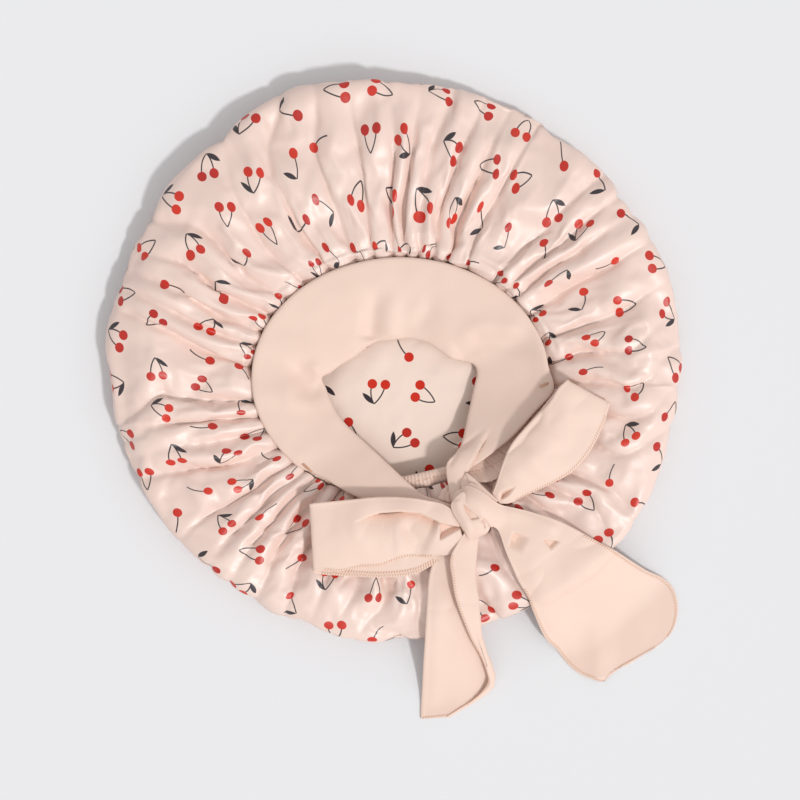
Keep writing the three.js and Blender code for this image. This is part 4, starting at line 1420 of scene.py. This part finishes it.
def make_tie(name, middle):
    """Makes a tie of the bow from its middle surface, with its hems."""
    start, end, flat, held, hems = ties[name]
    thickness = hem_thickness(middle.shape[:2], end_hemmed=held == "draped")
    piece = cloth_piece(name + "_cloth", middle, thickness, tie_cloth)
    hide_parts(name)
    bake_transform(piece)
    rows = [(*grid_line(middle, side, route), hem_stitch) for side, route in hems]
    stitching(name + "_hem_thread", rows, name, name + "_stitching")


def make_loop(name, stations, grid, folds, edge_wave=0):
    """A loop goes out, turns back and comes in over itself. Its upper side has the folds."""
    middle, along, across = tie_middle(stations, grid)
    upper = smooth(*loop_top_shares, along / along.max())
    middle[..., 2] += folds_of(middle[..., :2], folds) * upper
    wave = edge_wave * np.sin(along * loop_edge_wave_turn)
    middle[..., 1] += wave * smooth(loop_edge_share, 0, across) * upper
    make_tie(name, middle)


def tail_middle(stations, grid, folds, tail_ripple):
    middle, along, _ = tie_middle(stations, grid)
    values, reach = tail_ripple
    place = middle[..., :2]
    middle[..., 2] += folds_of(place, folds) + ripple(place, *values) * smooth(*reach, along)
    return middle


def make_left_tail():
    """The left tail, with its right side turned back over it as a flap."""
    middle = tail_middle(left_tail_stations, left_tail_grid, left_tail_folds, left_tail_ripple)
    place, lift, _, _ = stations_grid(left_flap_stations, *left_flap_grid)
    flap = raised(place, middle[:, -1:, 2] + lift + ripple(place, *left_flap_ripple))
    low, high = middle[:, -1], flap[:, 0]
    centre, half = (low + high) / 2, (high - low) / 2
    out = unit((middle[:, -1] - middle[:, -3]) * (1, 1, 0))
    bulge = np.linalg.norm(half, axis=-1, keepdims=True) * flap_bulge_share
    turns = np.linspace(-0.5, 0.5, flap_turns)[1:-1] * math.pi
    turned_edge = np.stack([centre + half * math.sin(a) + out * bulge * math.cos(a) for a in turns], 1)
    make_tie("left_tail", np.concatenate([middle, turned_edge, flap], 1))


def make_right_tail():
    """The right tail, which lies on the surface at its end."""
    middle = tail_middle(right_tail_stations, right_tail_grid, right_tail_folds, right_tail_ripple)
    middle[..., 2] = np.maximum(middle[..., 2], tie_thickness + tail_gap)
    make_tie("right_tail", middle)


def make_knot():
    """The knot: a wrap of doubled cloth over the bundle of ties, and the tucks of the straps behind it."""
    for name, (stations, grid, folds, thickness, flat, *nodes) in knot_pieces.items():
        place, lift, _, _ = stations_grid(stations, *grid)
        middle = raised(place, knot_height + lift + folds_of(place, folds))
        piece = cloth_piece(name, middle, thickness, tie_cloth)
        dress(piece, "bonnet", nodes)


crown_lie = lie_of(make_crown())
make_lining()
make_elastic()
band = make_band()
make_allowance()
make_tacks(band)
make_casing()
make_knot()
make_loop("left_loop", left_loop_stations, left_loop_grid, left_loop_folds, loop_edge_wave)
make_loop("right_loop", right_loop_stations, right_loop_grid, right_loop_folds)
make_left_tail()
make_right_tail()


# Camera, light and floor

camera_height = 1.6
key_sun = (1.45, 6, (0.62, -0.62, 1.1))  # strength, softness in degrees, where it comes from
fill_sun = (0.3, 60, (0.8, -0.6, 0.8))
world_strength = 0.59
white = (1, 1, 1, 1)
floor_colour = (234, 234, 236)
floor_half = 40.0
floor_grain_scale = 0.4
floor_grain_share = 0.02
floor_roughness = 0.9


def add_camera():
    camera = bpy.data.objects.new("camera", bpy.data.cameras.new("camera"))
    camera.location = (*plan(photo_size_px / 2, photo_size_px / 2), camera_height)
    width = photo_size_px * metres_per_px
    camera.data.angle = 2 * math.atan(width / 2 / (camera_height - rim_height))
    bpy.context.scene.collection.objects.link(camera)
    bpy.context.scene.camera = camera


def add_sun(name, strength, softness_deg, heading):
    lamp = bpy.data.lights.new(name, "SUN")
    lamp.energy = strength
    lamp.angle = math.radians(softness_deg)
    sun = bpy.data.objects.new(name, lamp)
    x, y, z = heading
    sun.rotation_euler = (math.atan2(math.hypot(x, y), z), 0, math.atan2(y, x) + math.pi / 2)
    bpy.context.scene.collection.objects.link(sun)


def add_floor():
    material, tree, shader = new_material("floor")
    place = add_node(tree, "ShaderNodeTexCoord").outputs["Object"]
    inputs = {"Vector": place, "Scale": floor_grain_scale}
    grain = add_node(tree, "ShaderNodeTexNoise", inputs).outputs[0]
    share = number(tree, "MULTIPLY", grain, floor_grain_share)
    put(tree, blend_colour(tree, share, linear(floor_colour), white), shader.inputs["Base Color"])
    shader.inputs["Roughness"].default_value = floor_roughness
    shader.inputs["Specular IOR Level"].default_value = 0.0
    corners = [(x * floor_half, y * floor_half, 0) for x, y in ((-1, -1), (1, -1), (1, 1), (-1, 1))]
    floor = mesh_object("floor", corners, [(0, 1, 2, 3)], material)


def add_world():
    world = bpy.data.worlds.new("studio")
    world.use_nodes = True
    background = world.node_tree.nodes["Background"]
    background.inputs["Color"].default_value = white
    background.inputs["Strength"].default_value = world_strength
    bpy.context.scene.world = world


add_camera()
add_sun("key", *key_sun)
add_sun("fill", *fill_sun)
add_floor()
add_world()
bpy.context.scene.view_settings.view_transform = "Standard"
